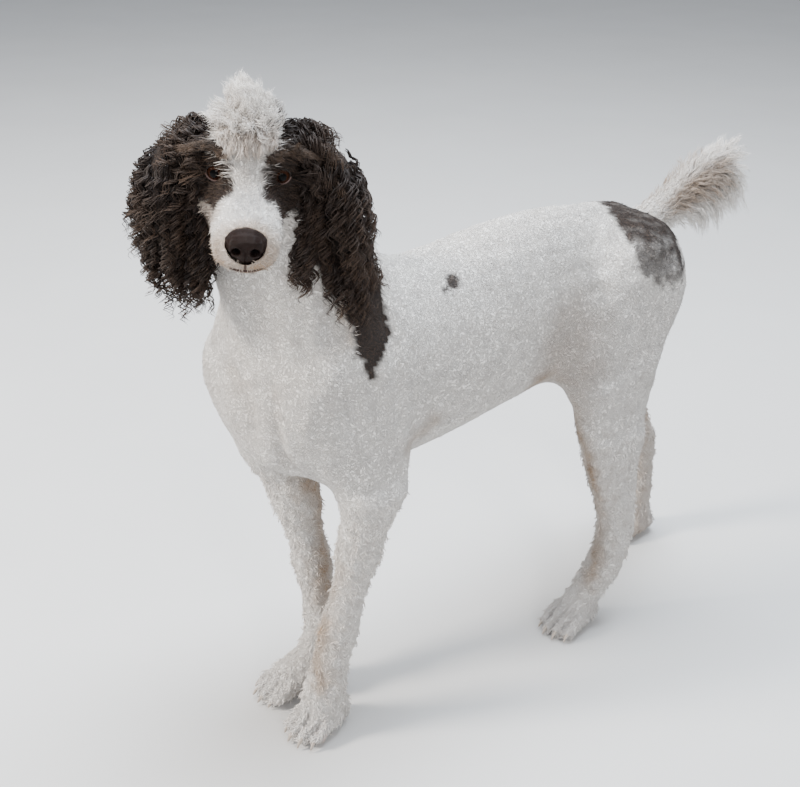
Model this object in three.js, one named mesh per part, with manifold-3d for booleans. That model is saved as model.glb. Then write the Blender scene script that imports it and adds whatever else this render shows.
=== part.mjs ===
// Standard poodle, standing with its head turned to its left: a still, life-size model.
// Millimetres, +Z up. The dog faces -Y and its left side is +X.
import * as THREE from 'three';
import { mergeVertices } from 'three/addons/utils/BufferGeometryUtils.js';
import Module from 'manifold-3d';

const wasm = await Module();
wasm.setup();

// Driving sizes of the body
const withersHeight = 563;
const chestBottom = 320;
const chestHalfWidth = 89;
const loinHalfWidth = 70;
const loinHeight = 595;
const tuckUpHeight = 352;
const jointGap = 0.3;
const eyeMiddle = new THREE.Vector3(58, -308, 713);
const headTurn = THREE.MathUtils.degToRad(61.5);
const headDip = THREE.MathUtils.degToRad(6);
const headTilt = THREE.MathUtils.degToRad(4.3);

// Colours of the coat and the bare parts
const looks = {
  white: { color: 0xe4e0da, roughness: 0.9, metalness: 0 },
  cream: { color: 0xd9cdb8, roughness: 0.9, metalness: 0 },
  brown: { color: 0x35291f, roughness: 0.85, metalness: 0 },
  eye: { color: 0x2a130c, roughness: 0.15, metalness: 0 },
  nose: { color: 0x1d1512, roughness: 0.35, metalness: 0 },
  claw: { color: 0x8a7a6c, roughness: 0.5, metalness: 0 },
};

const group = new THREE.Group();
const v3 = (x, y, z) => new THREE.Vector3(x, y, z);

// Solids: a closed geometry becomes a manifold solid and back
function solidOf(geometry, matrix) {
  const bare = geometry.index ? geometry.clone() : mergeVertices(geometry.clone());
  for (const name of Object.keys(bare.attributes)) if (name !== 'position') bare.deleteAttribute(name);
  const merged = mergeVertices(bare, 1e-4);
  if (matrix) merged.applyMatrix4(matrix);
  const mesh = new wasm.Mesh({
    numProp: 3,
    vertProperties: new Float32Array(merged.attributes.position.array),
    triVerts: new Uint32Array(merged.index.array),
  });
  return new wasm.Manifold(mesh);
}

// The triangles of a solid, with each edge shorter than the shortest one wanted drawn together
// where its two ends share just the two points beside it, so that the surface stays closed
function geometryOf(solid, shortest = 0.06) {
  const mesh = solid.getMesh();
  const positions = new Float32Array(mesh.vertProperties);
  let faces = [];
  for (let i = 0; i < mesh.triVerts.length; i += 3) faces.push([...mesh.triVerts.slice(i, i + 3)]);
  const place = (i) => v3(...positions.slice(3 * i, 3 * i + 3));
  for (let found = true; found;) {
    found = false;
    const ring = new Map();
    const link = (a, b) => (ring.get(a) ?? ring.set(a, new Set()).get(a)).add(b);
    for (const [a, b, c] of faces) for (const [m, n] of [[a, b], [b, c], [c, a]]) {
      link(m, n);
      link(n, m);
    }
    const moved = new Map();
    const busy = new Set();
    for (const [a, b, c] of faces) for (const [m, n] of [[a, b], [b, c], [c, a]]) {
      if (m > n || busy.has(m) || busy.has(n) || place(m).distanceTo(place(n)) >= shortest) continue;
      const shared = [...ring.get(m)].filter((other) => ring.get(n).has(other));
      if (shared.length !== 2 || shared.some((other) => ring.get(other).size <= 3)) continue;
      moved.set(n, m);
      for (const other of [m, n, ...ring.get(m), ...ring.get(n)]) busy.add(other);
      found = true;
    }
    faces = faces.map((face) => face.map((i) => moved.get(i) ?? i))
      .filter(([a, b, c]) => a !== b && b !== c && c !== a);
  }
  partSheets(positions, faces);
  const geometry = new THREE.BufferGeometry();
  geometry.setAttribute('position', new THREE.BufferAttribute(positions, 3));
  geometry.setIndex(faces.flat());
  geometry.computeVertexNormals();
  return geometry;
}

// Where two sheets of a surface share a point, each draws in a little, so that they come apart
function partSheets(positions, faces, draw = 0.05) {
  const place = (i) => v3(...positions.slice(3 * i, 3 * i + 3));
  const sheets = new Map();
  for (const i of new Set(faces.flat())) {
    const key = place(i).toArray().map((n) => Math.round(n * 500)).join();
    (sheets.get(key) ?? sheets.set(key, []).get(key)).push(i);
  }
  const shared = [...sheets.values()].filter((sheet) => sheet.length > 1).flat();
  const inwards = new Map(shared.map((i) => [i, v3(0, 0, 0)]));
  for (const [a, b, c] of faces) {
    const normal = place(b).sub(place(a)).cross(place(c).sub(place(a))).normalize();
    for (const i of [a, b, c]) inwards.get(i)?.sub(normal);
  }
  for (const [i, way] of inwards) place(i).addScaledVector(way.normalize(), draw).toArray(positions, 3 * i);
}

// Only the largest closed surface of a cut solid is kept
function largest(solid) {
  const size = (piece) => {
    const box = piece.boundingBox();
    return (box.max[0] - box.min[0]) * (box.max[1] - box.min[1]) * (box.max[2] - box.min[2]);
  };
  const pieces = solid.decompose();
  return pieces.reduce((best, piece) => (size(piece) > size(best) ? piece : best));
}

function addNode(name, solid, look, parent = group) {
  const mesh = new THREE.Mesh(geometryOf(largest(solid)), new THREE.MeshStandardMaterial(looks[look]));
  mesh.name = name;
  parent.add(mesh);
  return mesh;
}

// A block with one face through a point, standing off along a direction: what cuts are made with
function block(point, direction, size = 2400) {
  const aim = direction.clone().normalize();
  const turn = new THREE.Quaternion().setFromUnitVectors(v3(0, 0, 1), aim);
  const matrix = new THREE.Matrix4().compose(
    point.clone().addScaledVector(aim, size / 2), turn, v3(1, 1, 1));
  return solidOf(new THREE.BoxGeometry(size, size, size), matrix);
}

function box(low, high) {
  const size = high.clone().sub(low);
  const middle = low.clone().add(high).multiplyScalar(0.5);
  return solidOf(new THREE.BoxGeometry(size.x, size.y, size.z),
    new THREE.Matrix4().makeTranslation(middle.x, middle.y, middle.z));
}

// A solid made larger about a point
function grown(solid, centre, factor) {
  const matrix = new THREE.Matrix4().makeTranslation(centre.x, centre.y, centre.z)
    .scale(v3(factor, factor, factor)).multiply(new THREE.Matrix4().makeTranslation(-centre.x, -centre.y, -centre.z));
  return solid.transform(matrix.elements);
}

// Distance forms: negative inside, in millimetres
const ball = (centre, radii) => (p) => {
  const x = (p.x - centre.x) / radii.x;
  const y = (p.y - centre.y) / radii.y;
  const z = (p.z - centre.z) / radii.z;
  const scaled = Math.hypot(x, y, z);
  const steep = Math.hypot(x / radii.x, y / radii.y, z / radii.z);
  return steep > 1e-9 ? (scaled * (scaled - 1)) / steep : -Math.min(radii.x, radii.y, radii.z);
};

const limb = (from, to, fromRadius, toRadius, flatten = 1) => {
  const wide = (p) => v3(p.x / flatten, p.y, p.z);
  const start = wide(from);
  const way = wide(to).sub(start);
  const length2 = way.lengthSq();
  const spot = v3(0, 0, 0);
  return (p) => {
    spot.set(p.x / flatten, p.y, p.z).sub(start);
    const t = Math.min(1, Math.max(0, spot.dot(way) / length2));
    spot.addScaledVector(way, -t);
    return (spot.length() - (fromRadius + (toRadius - fromRadius) * t)) * Math.min(1, flatten);
  };
};

const blend = (a, b, width) => {
  const h = Math.max(width - Math.abs(a - b), 0) / width;
  return Math.min(a, b) - h * h * width * 0.25;
};

const joined = (forms, width) => (p) => {
  let value = forms[0](p);
  for (let i = 1; i < forms.length; i += 1) value = blend(value, forms[i](p), width);
  return value;
};

// A chain of limbs through joints, each joint [x, y, z, radius]
const chain = (joints, width, flatten = 1) => joined(joints.slice(1).map((joint, i) => limb(
  v3(...joints[i].slice(0, 3)), v3(...joint.slice(0, 3)), joints[i][3], joint[3], flatten)), width);

// Grid places from one number to another, about a size apart
function steps(from, to, size) {
  const count = Math.max(1, Math.round((to - from) / size));
  return Array.from({ length: count }, (_, i) => from + ((to - from) * i) / count);
}

// The skin of a form over a grid of places along x, y and z: one point in each cell that the
// surface crosses, moved onto the surface, and one face across each crossed cell edge
function skin(form, xs, ys, zs) {
  const places = [xs, ys, zs].map((list) => [2 * list[0] - list[1], ...list, 2 * list.at(-1) - list.at(-2)]);
  const [nx, ny, nz] = places.map((list) => list.length);
  const at = (i, j, k) => v3(places[0][i], places[1][j], places[2][k]);
  const id = (i, j, k) => i + nx * (j + ny * k);
  const low = v3(xs[0], ys[0], zs[0]);
  const high = v3(xs.at(-1), ys.at(-1), zs.at(-1));
  const room = (p) => Math.max(low.x - p.x, p.x - high.x, low.y - p.y, p.y - high.y, low.z - p.z, p.z - high.z);
  const shape = (p) => Math.max(form(p), room(p) + 1);
  const value = new Float64Array(nx * ny * nz);
  for (let k = 0; k < nz; k += 1) for (let j = 0; j < ny; j += 1) for (let i = 0; i < nx; i += 1) {
    value[id(i, j, k)] = shape(at(i, j, k)) || 1e-6;
  }
  const corners = [0, 1, 2, 3, 4, 5, 6, 7].map((c) => [c & 1, (c >> 1) & 1, (c >> 2) & 1]);
  const positions = [];
  const point = new Map();
  const step = 0.5;
  for (let k = 0; k < nz - 1; k += 1) for (let j = 0; j < ny - 1; j += 1) for (let i = 0; i < nx - 1; i += 1) {
    const near = corners.map(([a, b, c]) => value[id(i + a, j + b, k + c)]);
    if (near.every((v) => v > 0) || near.every((v) => v <= 0)) continue;
    const mean = v3(0, 0, 0);
    let crossings = 0;
    for (let c = 0; c < 8; c += 1) for (const bit of [1, 2, 4]) {
      const other = c | bit;
      if (other === c || (near[c] > 0) === (near[other] > 0)) continue;
      const share = near[c] / (near[c] - near[other]);
      mean.add(v3(...corners[c]).lerp(v3(...corners[other]), share));
      crossings += 1;
    }
    mean.divideScalar(crossings);
    const cell = at(i + 1, j + 1, k + 1).sub(at(i, j, k));
    const spot = at(i, j, k).add(mean.multiply(cell));
    const centre = at(i, j, k).addScaledVector(cell, 0.5);
    for (let round = 0; round < 3; round += 1) {
      const here = shape(spot);
      const slope = v3(
        shape(v3(spot.x + step, spot.y, spot.z)) - here,
        shape(v3(spot.x, spot.y + step, spot.z)) - here,
        shape(v3(spot.x, spot.y, spot.z + step)) - here).divideScalar(step);
      const steep = Math.max(slope.lengthSq(), 0.05);
      spot.addScaledVector(slope, -here / steep);
      spot.clamp(centre.clone().addScaledVector(cell, -0.62), centre.clone().addScaledVector(cell, 0.62));
    }
    point.set(id(i, j, k), positions.length / 3);
    positions.push(spot.x, spot.y, spot.z);
  }
  const faces = [];
  const stride = [1, nx, nx * ny];
  for (let k = 1; k < nz - 1; k += 1) for (let j = 1; j < ny - 1; j += 1) for (let i = 1; i < nx - 1; i += 1) {
    const here = value[id(i, j, k)] > 0;
    for (let axis = 0; axis < 3; axis += 1) {
      const far = [i + (axis === 0), j + (axis === 1), k + (axis === 2)];
      if ((value[id(...far)] > 0) === here) continue;
      const u = stride[(axis + 1) % 3];
      const w = stride[(axis + 2) % 3];
      const base = id(i, j, k);
      const quad = [base, base - u, base - u - w, base - w].map((cellId) => point.get(cellId));
      if (here) quad.reverse();
      faces.push(quad[0], quad[1], quad[2], quad[0], quad[2], quad[3]);
    }
  }
  const geometry = new THREE.BufferGeometry();
  geometry.setAttribute('position', new THREE.Float32BufferAttribute(positions, 3));
  geometry.setIndex(faces);
  return solidOf(geometry);
}

// A tube through points, with a width at each ring and a share of it as its thickness. Its section
// is carried along it without twist from the side that it starts with
function tube(points, widths, sides, thin = 1, side = v3(0, 0, 1)) {
  const curve = new THREE.CatmullRomCurve3(points);
  const rings = widths.length;
  const positions = [curve.getPoint(0).toArray()];
  const faces = [];
  const over = side.clone();
  for (let r = 0; r < rings; r += 1) {
    const centre = curve.getPoint(r / (rings - 1));
    const way = curve.getTangent(r / (rings - 1));
    over.addScaledVector(way, -over.dot(way)).normalize();
    const across = way.clone().cross(over);
    for (let s = 0; s < sides; s += 1) {
      const angle = (s / sides) * 2 * Math.PI;
      positions.push(centre.clone()
        .addScaledVector(across, widths[r] * Math.cos(angle))
        .addScaledVector(over, widths[r] * thin * Math.sin(angle)).toArray());
    }
  }
  positions.push(curve.getPoint(1).toArray());
  const tip = positions.length - 1;
  for (let s = 0; s < sides; s += 1) {
    const next = (s + 1) % sides;
    faces.push(0, 1 + s, 1 + next);
    for (let r = 0; r < rings - 1; r += 1) {
      const a = 1 + r * sides + s;
      const b = 1 + r * sides + next;
      faces.push(a, b + sides, b, a, a + sides, b + sides);
    }
    faces.push(tip, 1 + (rings - 1) * sides + next, 1 + (rings - 1) * sides + s);
  }
  const geometry = new THREE.BufferGeometry();
  geometry.setAttribute('position', new THREE.Float32BufferAttribute(positions.flat(), 3));
  geometry.setIndex(faces);
  return solidOf(geometry);
}

// A seeded draw from -1 to 1
function drawFrom(seed) {
  let state = seed;
  return () => {
    state = (state * 1664525 + 1013904223) % 4294967296;
    return state / 2147483648 - 1;
  };
}

// One lock of hair: sunk in at its root, it leaves along a direction, falls, waves and tapers
const lockTaper = [0.85, 1, 0.85, 0.3];
const lockSink = 7;
function lock(root, way, { length, width, thin, fall, wave }, draw) {
  const heading = way.clone().normalize();
  const sideways = v3(heading.y, -heading.x, 0.2 * draw()).normalize();
  const points = [root.clone().addScaledVector(heading, -lockSink)];
  const phase = draw() * Math.PI;
  const pieces = lockTaper.length;
  for (let i = 1; i < pieces; i += 1) {
    heading.z -= fall / pieces;
    heading.normalize();
    points.push(points[i - 1].clone().addScaledVector(heading, (length + lockSink) / (pieces - 1))
      .addScaledVector(sideways, wave * Math.sin(phase + i * 2.1)));
  }
  return tube(points, lockTaper.map((share) => share * width), 3, thin, sideways.clone().cross(way));
}

// The trunk: top, bottom and half width at stations along it
const trunkStations = [
  [-318, 452, 408, 16],
  [-298, 500, 368, 62],
  [-255, 540, 336, 88],
  [-190, withersHeight - 6, chestBottom + 4, chestHalfWidth],
  [-120, withersHeight, chestBottom, chestHalfWidth],
  [-40, withersHeight + 13, chestBottom + 10, chestHalfWidth],
  [40, loinHeight - 6, chestBottom + 24, chestHalfWidth - 8],
  [115, loinHeight, tuckUpHeight + 6, loinHalfWidth],
  [175, loinHeight - 6, tuckUpHeight + 40, loinHalfWidth - 4],
  [240, loinHeight - 20, tuckUpHeight + 70, loinHalfWidth - 8],
  [290, 552, 446, 44],
  [314, 512, 470, 18],
];
const trunkShape = new THREE.CubicInterpolant(
  trunkStations.map((row) => row[0]), trunkStations.flatMap((row) => row.slice(1)), 3);
const trunkEnds = [trunkStations[0][0], trunkStations[trunkStations.length - 1][0]];

const trunk = (p) => {
  const y = Math.min(trunkEnds[1], Math.max(trunkEnds[0], p.y));
  const [top, bottom, half] = trunkShape.evaluate(y);
  const tall = (top - bottom) / 2;
  const ring = Math.hypot(p.x / half, (p.z - (top + bottom) / 2) / tall);
  const side = (ring - 1) * Math.min(half, tall);
  return p.y === y ? side : Math.hypot(Math.max(side, 0), p.y - y) + Math.min(side, 0);
};

// Legs, as joints from the trunk down to the paw: [x, y, z, radius]
const forelegs = {
  left: [[66, -208, 445, 62], [82, -180, 345, 43], [73, -196, 245, 26], [67, -222, 140, 24], [64, -240, 62, 25],
    [63, -246, 34, 27]],
  right: [[-74, -238, 440, 67], [-78, -218, 345, 52], [-60, -206, 262, 31], [-46, -192, 165, 25],
    [-24, -192, 100, 24], [-9, -207, 45, 25], [-14, -236, 34, 26]],
};
const hindlegs = {
  left: [[46, 222, 480, 78], [70, 189, 385, 61], [80, 190, 302, 45], [84, 190, 250, 33], [86, 198, 205, 27],
    [86, 208, 158, 25], [84, 203, 110, 22], [79, 190, 76, 22], [74, 166, 44, 26]],
  right: [[-46, 232, 480, 76], [-60, 262, 375, 58], [-66, 300, 290, 42], [-66, 366, 205, 29],
    [-66, 392, 160, 26], [-62, 392, 95, 23], [-61, 394, 48, 26]],
};
const shoulders = [
  ball(v3(62, -205, 470), v3(34, 62, 88)),
  ball(v3(-70, -242, 458), v3(42, 64, 94)),
];
const buttocks = [
  ball(v3(44, 258, 480), v3(40, 60, 84)),
  ball(v3(-44, 258, 480), v3(40, 60, 84)),
];
const legForms = {
  foreLeft: chain(forelegs.left, 24),
  foreRight: chain(forelegs.right, 24),
  hindLeft: chain(hindlegs.left, 26),
  hindRight: chain(hindlegs.right, 26),
};

// The head in its own frame: x to its left, -y forward along the muzzle, z up, from between the eyes
const headFrame = new THREE.Matrix4().compose(
  eyeMiddle, new THREE.Quaternion().setFromEuler(new THREE.Euler(headDip, headTilt, headTurn, 'ZXY')), v3(1, 1, 1));
const headInverse = headFrame.clone().invert();
const inHead = (p) => p.clone().applyMatrix4(headInverse);

const muzzleLength = 106;
const headForms = joined([
  ball(v3(0, 46, 2), v3(54, 64, 50)),
  ball(v3(27, 14, 14), v3(23, 20, 18)),
  ball(v3(-27, 14, 14), v3(23, 20, 18)),
  ball(v3(34, 36, -30), v3(24, 38, 33)),
  ball(v3(-34, 36, -30), v3(24, 38, 33)),
  limb(v3(0, 8, -24), v3(0, 24 - muzzleLength, -38), 28, 25.5, 1.38),
  limb(v3(0, 20, -50), v3(0, 30 - muzzleLength, -53), 25, 15, 1.45),
], 12);

const neckJoints = [[0, -165, 490, 92], [-4, -222, 565, 80], [-8, -254, 632, 63], [-10, -264, 690, 55]];
const neckForm = chain(neckJoints, 30);
const wholeHead = (p) => blend(headForms(inHead(p)), neckForm(p), 34);

const bodyForms = joined([trunk, ...shoulders, ...buttocks, neckForm], 40);
const front = (p) => blend(blend(bodyForms(p), legForms.foreLeft(p), 34), legForms.foreRight(p), 34);
const rear = (p) => blend(blend(bodyForms(p), legForms.hindLeft(p), 34), legForms.hindRight(p), 34);

// Cuts between the parts
const half = jointGap / 2;
const neckRoot = { point: v3(0, -158, 580), away: v3(0, -0.58, 0.81) };
const headRoot = { point: v3(-14, -262, 668), away: v3(-0.25, 0.15, -0.95) };
const chestLoin = -10;
const loinRump = 150;
const foreTop = 335;
const keelHalf = 34;
const thighRoot = { point: v3(0, 100, 358), away: v3(0, 0.31, -0.95) };
const wristHeight = 78;
const hockHeight = 66;
const kneeHeight = 300;

const cut = (solid, point, away, gap = half) => solid.subtract(
  block(point.clone().addScaledVector(away.clone().normalize(), gap ? -gap : 0), away));

const reverse = (v) => v.clone().negate();

// Neck
const neckSkin = (grow) => skin((p) => blend(wholeHead(p), bodyForms(p), 20) - grow,
  steps(-115, 115, 25), steps(-340, -90, 26), steps(440, 740, 28));
let neck = neckSkin(0).intersect(block(neckRoot.point.clone().addScaledVector(neckRoot.away, half), neckRoot.away));
neck = cut(neck, headRoot.point, reverse(headRoot.away));
addNode('neck', neck, 'white');

// Chest, loin and rump
const foreBlock = (side, gap) => {
  const near = keelHalf - gap;
  const low = side > 0 ? v3(near, -420, -20) : v3(-160, -420, -20);
  const high = side > 0 ? v3(160, 0, foreTop + gap) : v3(-near, 0, foreTop + gap);
  return box(low, high);
};
const chestSkin = (grow) => skin((p) => front(p) - grow,
  steps(-135, 135, 27), steps(-345, 60, 30), steps(290, 660, 27));
let chest = chestSkin(0);
chest = cut(chest, neckRoot.point, neckRoot.away);
chest = cut(chest, v3(0, chestLoin, 0), v3(0, 1, 0));
chest = chest.subtract(foreBlock(1, half)).subtract(foreBlock(-1, half));
chest = chest.subtract(box(v3(-200, -400, 0), v3(200, 100, chestBottom - 22)));
addNode('chest', chest, 'white');

const backSkin = (grow) => skin((p) => Math.min(rear(p), bodyForms(p)) - grow,
  steps(-130, 130, 28), steps(-80, 350, 33), steps(300, 640, 28));
const back = backSkin(0);
const hindBlock = (gap) => block(
  thighRoot.point.clone().addScaledVector(thighRoot.away.clone().normalize(), -gap), thighRoot.away);
const loin = cut(cut(back, v3(0, chestLoin, 0), v3(0, -1, 0)), v3(0, loinRump, 0), v3(0, 1, 0));
addNode('loin', loin.subtract(hindBlock(half)), 'white');
addNode('rump', cut(back, v3(0, loinRump, 0), v3(0, -1, 0)).subtract(hindBlock(half)), 'white');

// Legs
for (const side of ['left', 'right']) {
  const sign = side === 'left' ? 1 : -1;
  const foreForm = side === 'left' ? legForms.foreLeft : legForms.foreRight;
  const foreWhole = (p) => blend(bodyForms(p), foreForm(p), 34);
  let foreleg = skin(foreWhole, steps(-140, 140, 17), steps(-300, -90, 17),
    steps(20, 410, 30));
  foreleg = foreleg.intersect(box(v3(-200, -400, wristHeight + half), v3(200, 0, foreTop - half)));
  foreleg = foreleg.subtract(box(v3(-keelHalf - half, -400, chestBottom - 22), v3(keelHalf + half, 0, 400)));
  addNode(`foreleg_${side}`, foreleg, 'white');

  const hindForm = side === 'left' ? legForms.hindLeft : legForms.hindRight;
  const hindWhole = (p) => blend(bodyForms(p), hindForm(p), 34);
  const ySpan = side === 'left' ? [70, 350] : [120, 450];
  const thighSkin = skin(hindWhole, steps(-130, 130, 23), steps(ySpan[0], ySpan[1], 25),
    steps(240, 520, 26));
  let thigh = thighSkin.intersect(hindBlock(-half));
  thigh = cut(thigh, v3(0, 0, kneeHeight), v3(0, 0, -1));
  thigh = cut(thigh, v3(0, 0, 0), v3(-sign, 0, 0));
  addNode(`thigh_${side}`, thigh, 'white');

  const shankSkin = skin(hindWhole, steps(-130, 130, 17), steps(ySpan[0], ySpan[1], 17),
    steps(15, 370, 29));
  const shank = shankSkin.intersect(box(v3(-200, 0, hockHeight + half), v3(200, 600, kneeHeight - half)));
  addNode(`shank_${side}`, cut(shank, v3(0, 0, 0), v3(-sign, 0, 0)), 'white');
}

// Paws, each in a group of its own: toes to -y, sole on the floor
const paws = [
  { name: 'forepaw_left', spot: v3(63, -246, 0), heading: 14, form: legForms.foreLeft, top: wristHeight },
  { name: 'forepaw_right', spot: v3(-16, -243, 0), heading: -8, form: legForms.foreRight, top: wristHeight },
  { name: 'hindpaw_left', spot: v3(73, 152, 0), heading: 8, form: legForms.hindLeft, top: hockHeight },
  { name: 'hindpaw_right', spot: v3(-61, 386, 0), heading: 0, form: legForms.hindRight, top: hockHeight },
];
const toes = [-22, -8, 8, 22].map((x) => ({ x, y: -30 - 9 * Math.cos(x / 14), r: 13.5 - Math.abs(x) / 16 }));
const clawLength = 11;
for (const paw of paws) {
  const frame = new THREE.Group();
  frame.position.copy(paw.spot);
  frame.rotation.z = THREE.MathUtils.degToRad(paw.heading);
  frame.updateMatrix();
  group.add(frame);
  const form = joined([
    (p) => paw.form(p.clone().applyMatrix4(frame.matrix)),
    limb(v3(0, 20, 22), v3(0, -8, 21), 24, 24, 1.2),
    ...toes.map((toe) => limb(v3(toe.x * 0.8, -4, 24), v3(toe.x, toe.y, 12), 14, toe.r)),
  ], 9);
  let solid = skin(form, steps(-50, 50, 11),
    [...steps(-64, -16, 10.5), ...steps(-16, 70, 20)], [...steps(-12, 36, 11), ...steps(36, 110, 22)]);
  solid = solid.intersect(box(v3(-100, -100, 0), v3(100, 100, paw.top - half)));
  const claws = toes.map((toe) => {
    const from = v3(toe.x, toe.y - toe.r + 5, 13);
    const to = from.clone().add(v3(toe.x * 0.06, -clawLength, -10));
    const middle = from.clone().lerp(to, 0.55).add(v3(0, -0.5, 2.5));
    return (grow) => tube([from, middle, to], [2.9 + grow, 2.4 + grow, 1 + grow], 5, 1.25);
  });
  for (const claw of claws) solid = solid.subtract(claw(jointGap));
  addNode(paw.name, solid, 'white', frame);
  claws.forEach((claw, i) => addNode(`claw_${paw.name}_${i + 1}`, claw(0), 'claw', frame));
}

// Head
const headGroup = new THREE.Group();
headGroup.applyMatrix4(headFrame);
group.add(headGroup);
const headField = (p) => wholeHead(p.clone().applyMatrix4(headFrame));
const headSkin = (grow) => skin((p) => headField(p) - grow,
  steps(-78, 78, 13), [...steps(-116, 16, 12), ...steps(16, 130, 23)],
  [...steps(-114, -76, 19), ...steps(-76, 76, 12.5)]);
let head = headSkin(0);
const neckSide = block(headRoot.point.clone().addScaledVector(headRoot.away.clone().normalize(), -half),
  headRoot.away);
head = head.subtract(neckSide.transform(headInverse.elements));
const topSeat = { point: v3(0, 0, 36), away: v3(0, 0.12, 1) };
head = cut(head, topSeat.point, topSeat.away);

// The first point of the head's surface from a point inside it along a direction
function onHead(from, way) {
  const step = way.clone().normalize().multiplyScalar(0.25);
  const spot = from.clone();
  while (headField(spot) < 0) spot.add(step);
  return spot;
}

// Eyes: a ball behind an almond opening, between two lids
const eyeRadius = 11;
const eyeWide = 8.6;
const eyeTall = 6;
const eyeCentre = (sign) => v3(sign * 30.5, 7, 0);
const eyeWay = (sign) => v3(sign * 0.22, -0.97, 0.02).normalize();
const eyeBall = (sign, grow) => solidOf(new THREE.SphereGeometry(eyeRadius + grow, 11, 7),
  new THREE.Matrix4().makeTranslation(...eyeCentre(sign).toArray()));
function lid(sign, upper) {
  const way = eyeWay(sign);
  const across = way.clone().cross(v3(0, 0, 1)).normalize();
  const over = across.clone().cross(way).normalize();
  const points = [0, 1, 2, 3, 4].map((i) => {
    const angle = (upper ? 1 : -1) * (i / 4) * Math.PI;
    const rim = eyeCentre(sign).addScaledVector(across, (eyeWide + 1) * Math.cos(angle))
      .addScaledVector(over, (eyeTall + 1) * Math.sin(angle));
    return onHead(rim, way).addScaledVector(way, 0.4);
  });
  return tube(points, [1.4, 2.2, 2.4, 2.2, 1.4], 4, 1, way);
}
for (const sign of [1, -1]) {
  const middle = eyeCentre(sign);
  const out = middle.clone().addScaledVector(eyeWay(sign), 30);
  const opening = tube([middle, out], [eyeWide, eyeWide], 8, eyeTall / eyeWide);
  head = head.add(lid(sign, true)).add(lid(sign, false)).subtract(opening).subtract(eyeBall(sign, jointGap));
}

// The line of the mouth, from one corner round the front to the other, with a lip above and below
const mouthHeight = -53;
const mouthCorner = -24;
const mouthFront = -66;
const mouthLine = (rise, out) => {
  const sideWays = [mouthCorner, (mouthCorner + mouthFront) / 2].map((y) => [v3(0, y, 0), v3(1, 0, 0)]);
  const frontWays = [10, 50, 90].map((deg) => {
    const angle = THREE.MathUtils.degToRad(deg);
    return [v3(0, mouthFront, 0), v3(Math.cos(angle), -Math.sin(angle), 0)];
  });
  const leftHalf = [...sideWays, ...frontWays].map(([from, way]) => {
    const lift = rise + 5 * Math.max(0, (from.y - mouthFront) / (mouthCorner - mouthFront)) ** 2;
    return onHead(v3(from.x, from.y, mouthHeight + lift), way).addScaledVector(way, out);
  });
  const rightHalf = leftHalf.slice(0, -1).reverse().map((p) => v3(-p.x, p.y, p.z));
  return [...leftHalf, ...rightHalf];
};
const lipWidths = (width) => [0.5, 0.9, 1, 1, 1, 1, 1, 0.9, 0.5].map((share) => share * width);
head = head.add(tube(mouthLine(3.4, -1.4), lipWidths(3.4), 4, 0.8));
head = head.add(tube(mouthLine(-3.4, -1.6), lipWidths(2.8), 4, 0.8));
head = head.subtract(tube(mouthLine(0, 0.6), lipWidths(2.6), 4, 0.42));

// Nose leather with its nostrils, set into the end of the muzzle
const nosePlace = v3(0, -97, -30);
const noseForm = joined([
  ball(nosePlace, v3(18.5, 13, 15)),
  ball(nosePlace.clone().add(v3(0, 6, -8)), v3(12, 12, 12)),
], 6);
let nose = skin(noseForm, steps(-26, 26, 7.5), steps(-116, -76, 8), steps(-60, -6, 7.5));
head = head.subtract(grown(nose, nosePlace, 1.04));
for (const sign of [1, -1]) {
  const nostril = [v3(sign * 6.5, -116, -34), v3(sign * 7.5, -108, -32), v3(sign * 10, -99, -29)];
  const slit = [v3(sign * 8, -106, -33), v3(sign * 14, -104, -37), v3(sign * 19, -97, -38)];
  nose = nose.subtract(tube(nostril, [3.6, 3.2, 1.6], 5)).subtract(tube(slit, [2.4, 1.5, 1.2], 4, 0.7));
}
const philtrum = [v3(0, -112, -42), v3(0, -108, -47), v3(0, -101, mouthHeight)];
head = head.subtract(tube(philtrum, [1.4, 1.4, 1.4], 4));
addNode('head', head, 'white', headGroup);
addNode('nose', nose, 'nose', headGroup);
for (const [side, sign] of [['left', 1], ['right', -1]]) {
  addNode(`eye_${side}`, eyeBall(sign, 0), 'eye', headGroup);
}

// Topknot: a low core on the crown, and locks that stand up from it in a spiral order
const goldenTurn = 2.39996;
const knotCentre = v3(-2, 36, 38);
const knotReach = v3(34, 40, 30);
const knotCount = 20;
const parting = (sign) => ({ point: v3(sign * 47, 40, 42), away: v3(sign * 0.75, 0, -0.66) });
const knotDraw = drawFrom(5);
const knotLocks = Array.from({ length: knotCount }, (_, i) => {
  const out = Math.sqrt((i + 0.5) / knotCount);
  const angle = i * goldenTurn;
  const spot = v3(0.92 * out * Math.cos(angle), 0.92 * out * Math.sin(angle), 0);
  spot.z = Math.sqrt(1 - spot.lengthSq());
  const root = knotCentre.clone().add(spot.clone().multiply(knotReach));
  const way = v3(0.3 * spot.x + 0.08 + 0.12 * knotDraw(), 0.5 * spot.y + 0.12 * knotDraw(), 0.6 + 0.6 * spot.z);
  const length = (23 + 9 * spot.z) * (1 + 0.14 * knotDraw());
  return lock(root, way, { length, width: 11, thin: 0.75, fall: 0.4 * out, wave: 2.6 }, knotDraw);
});
const knotCore = skin(ball(knotCentre, knotReach), steps(-46, 54, 16), steps(-14, 100, 17), steps(2, 90, 15));
let topknot = wasm.Manifold.union([knotCore, ...knotLocks]);
topknot = cut(topknot, topSeat.point, reverse(topSeat.away));
for (const sign of [1, -1]) topknot = cut(topknot, parting(sign).point, parting(sign).away);
addNode('topknot', topknot, 'white', headGroup);

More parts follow.
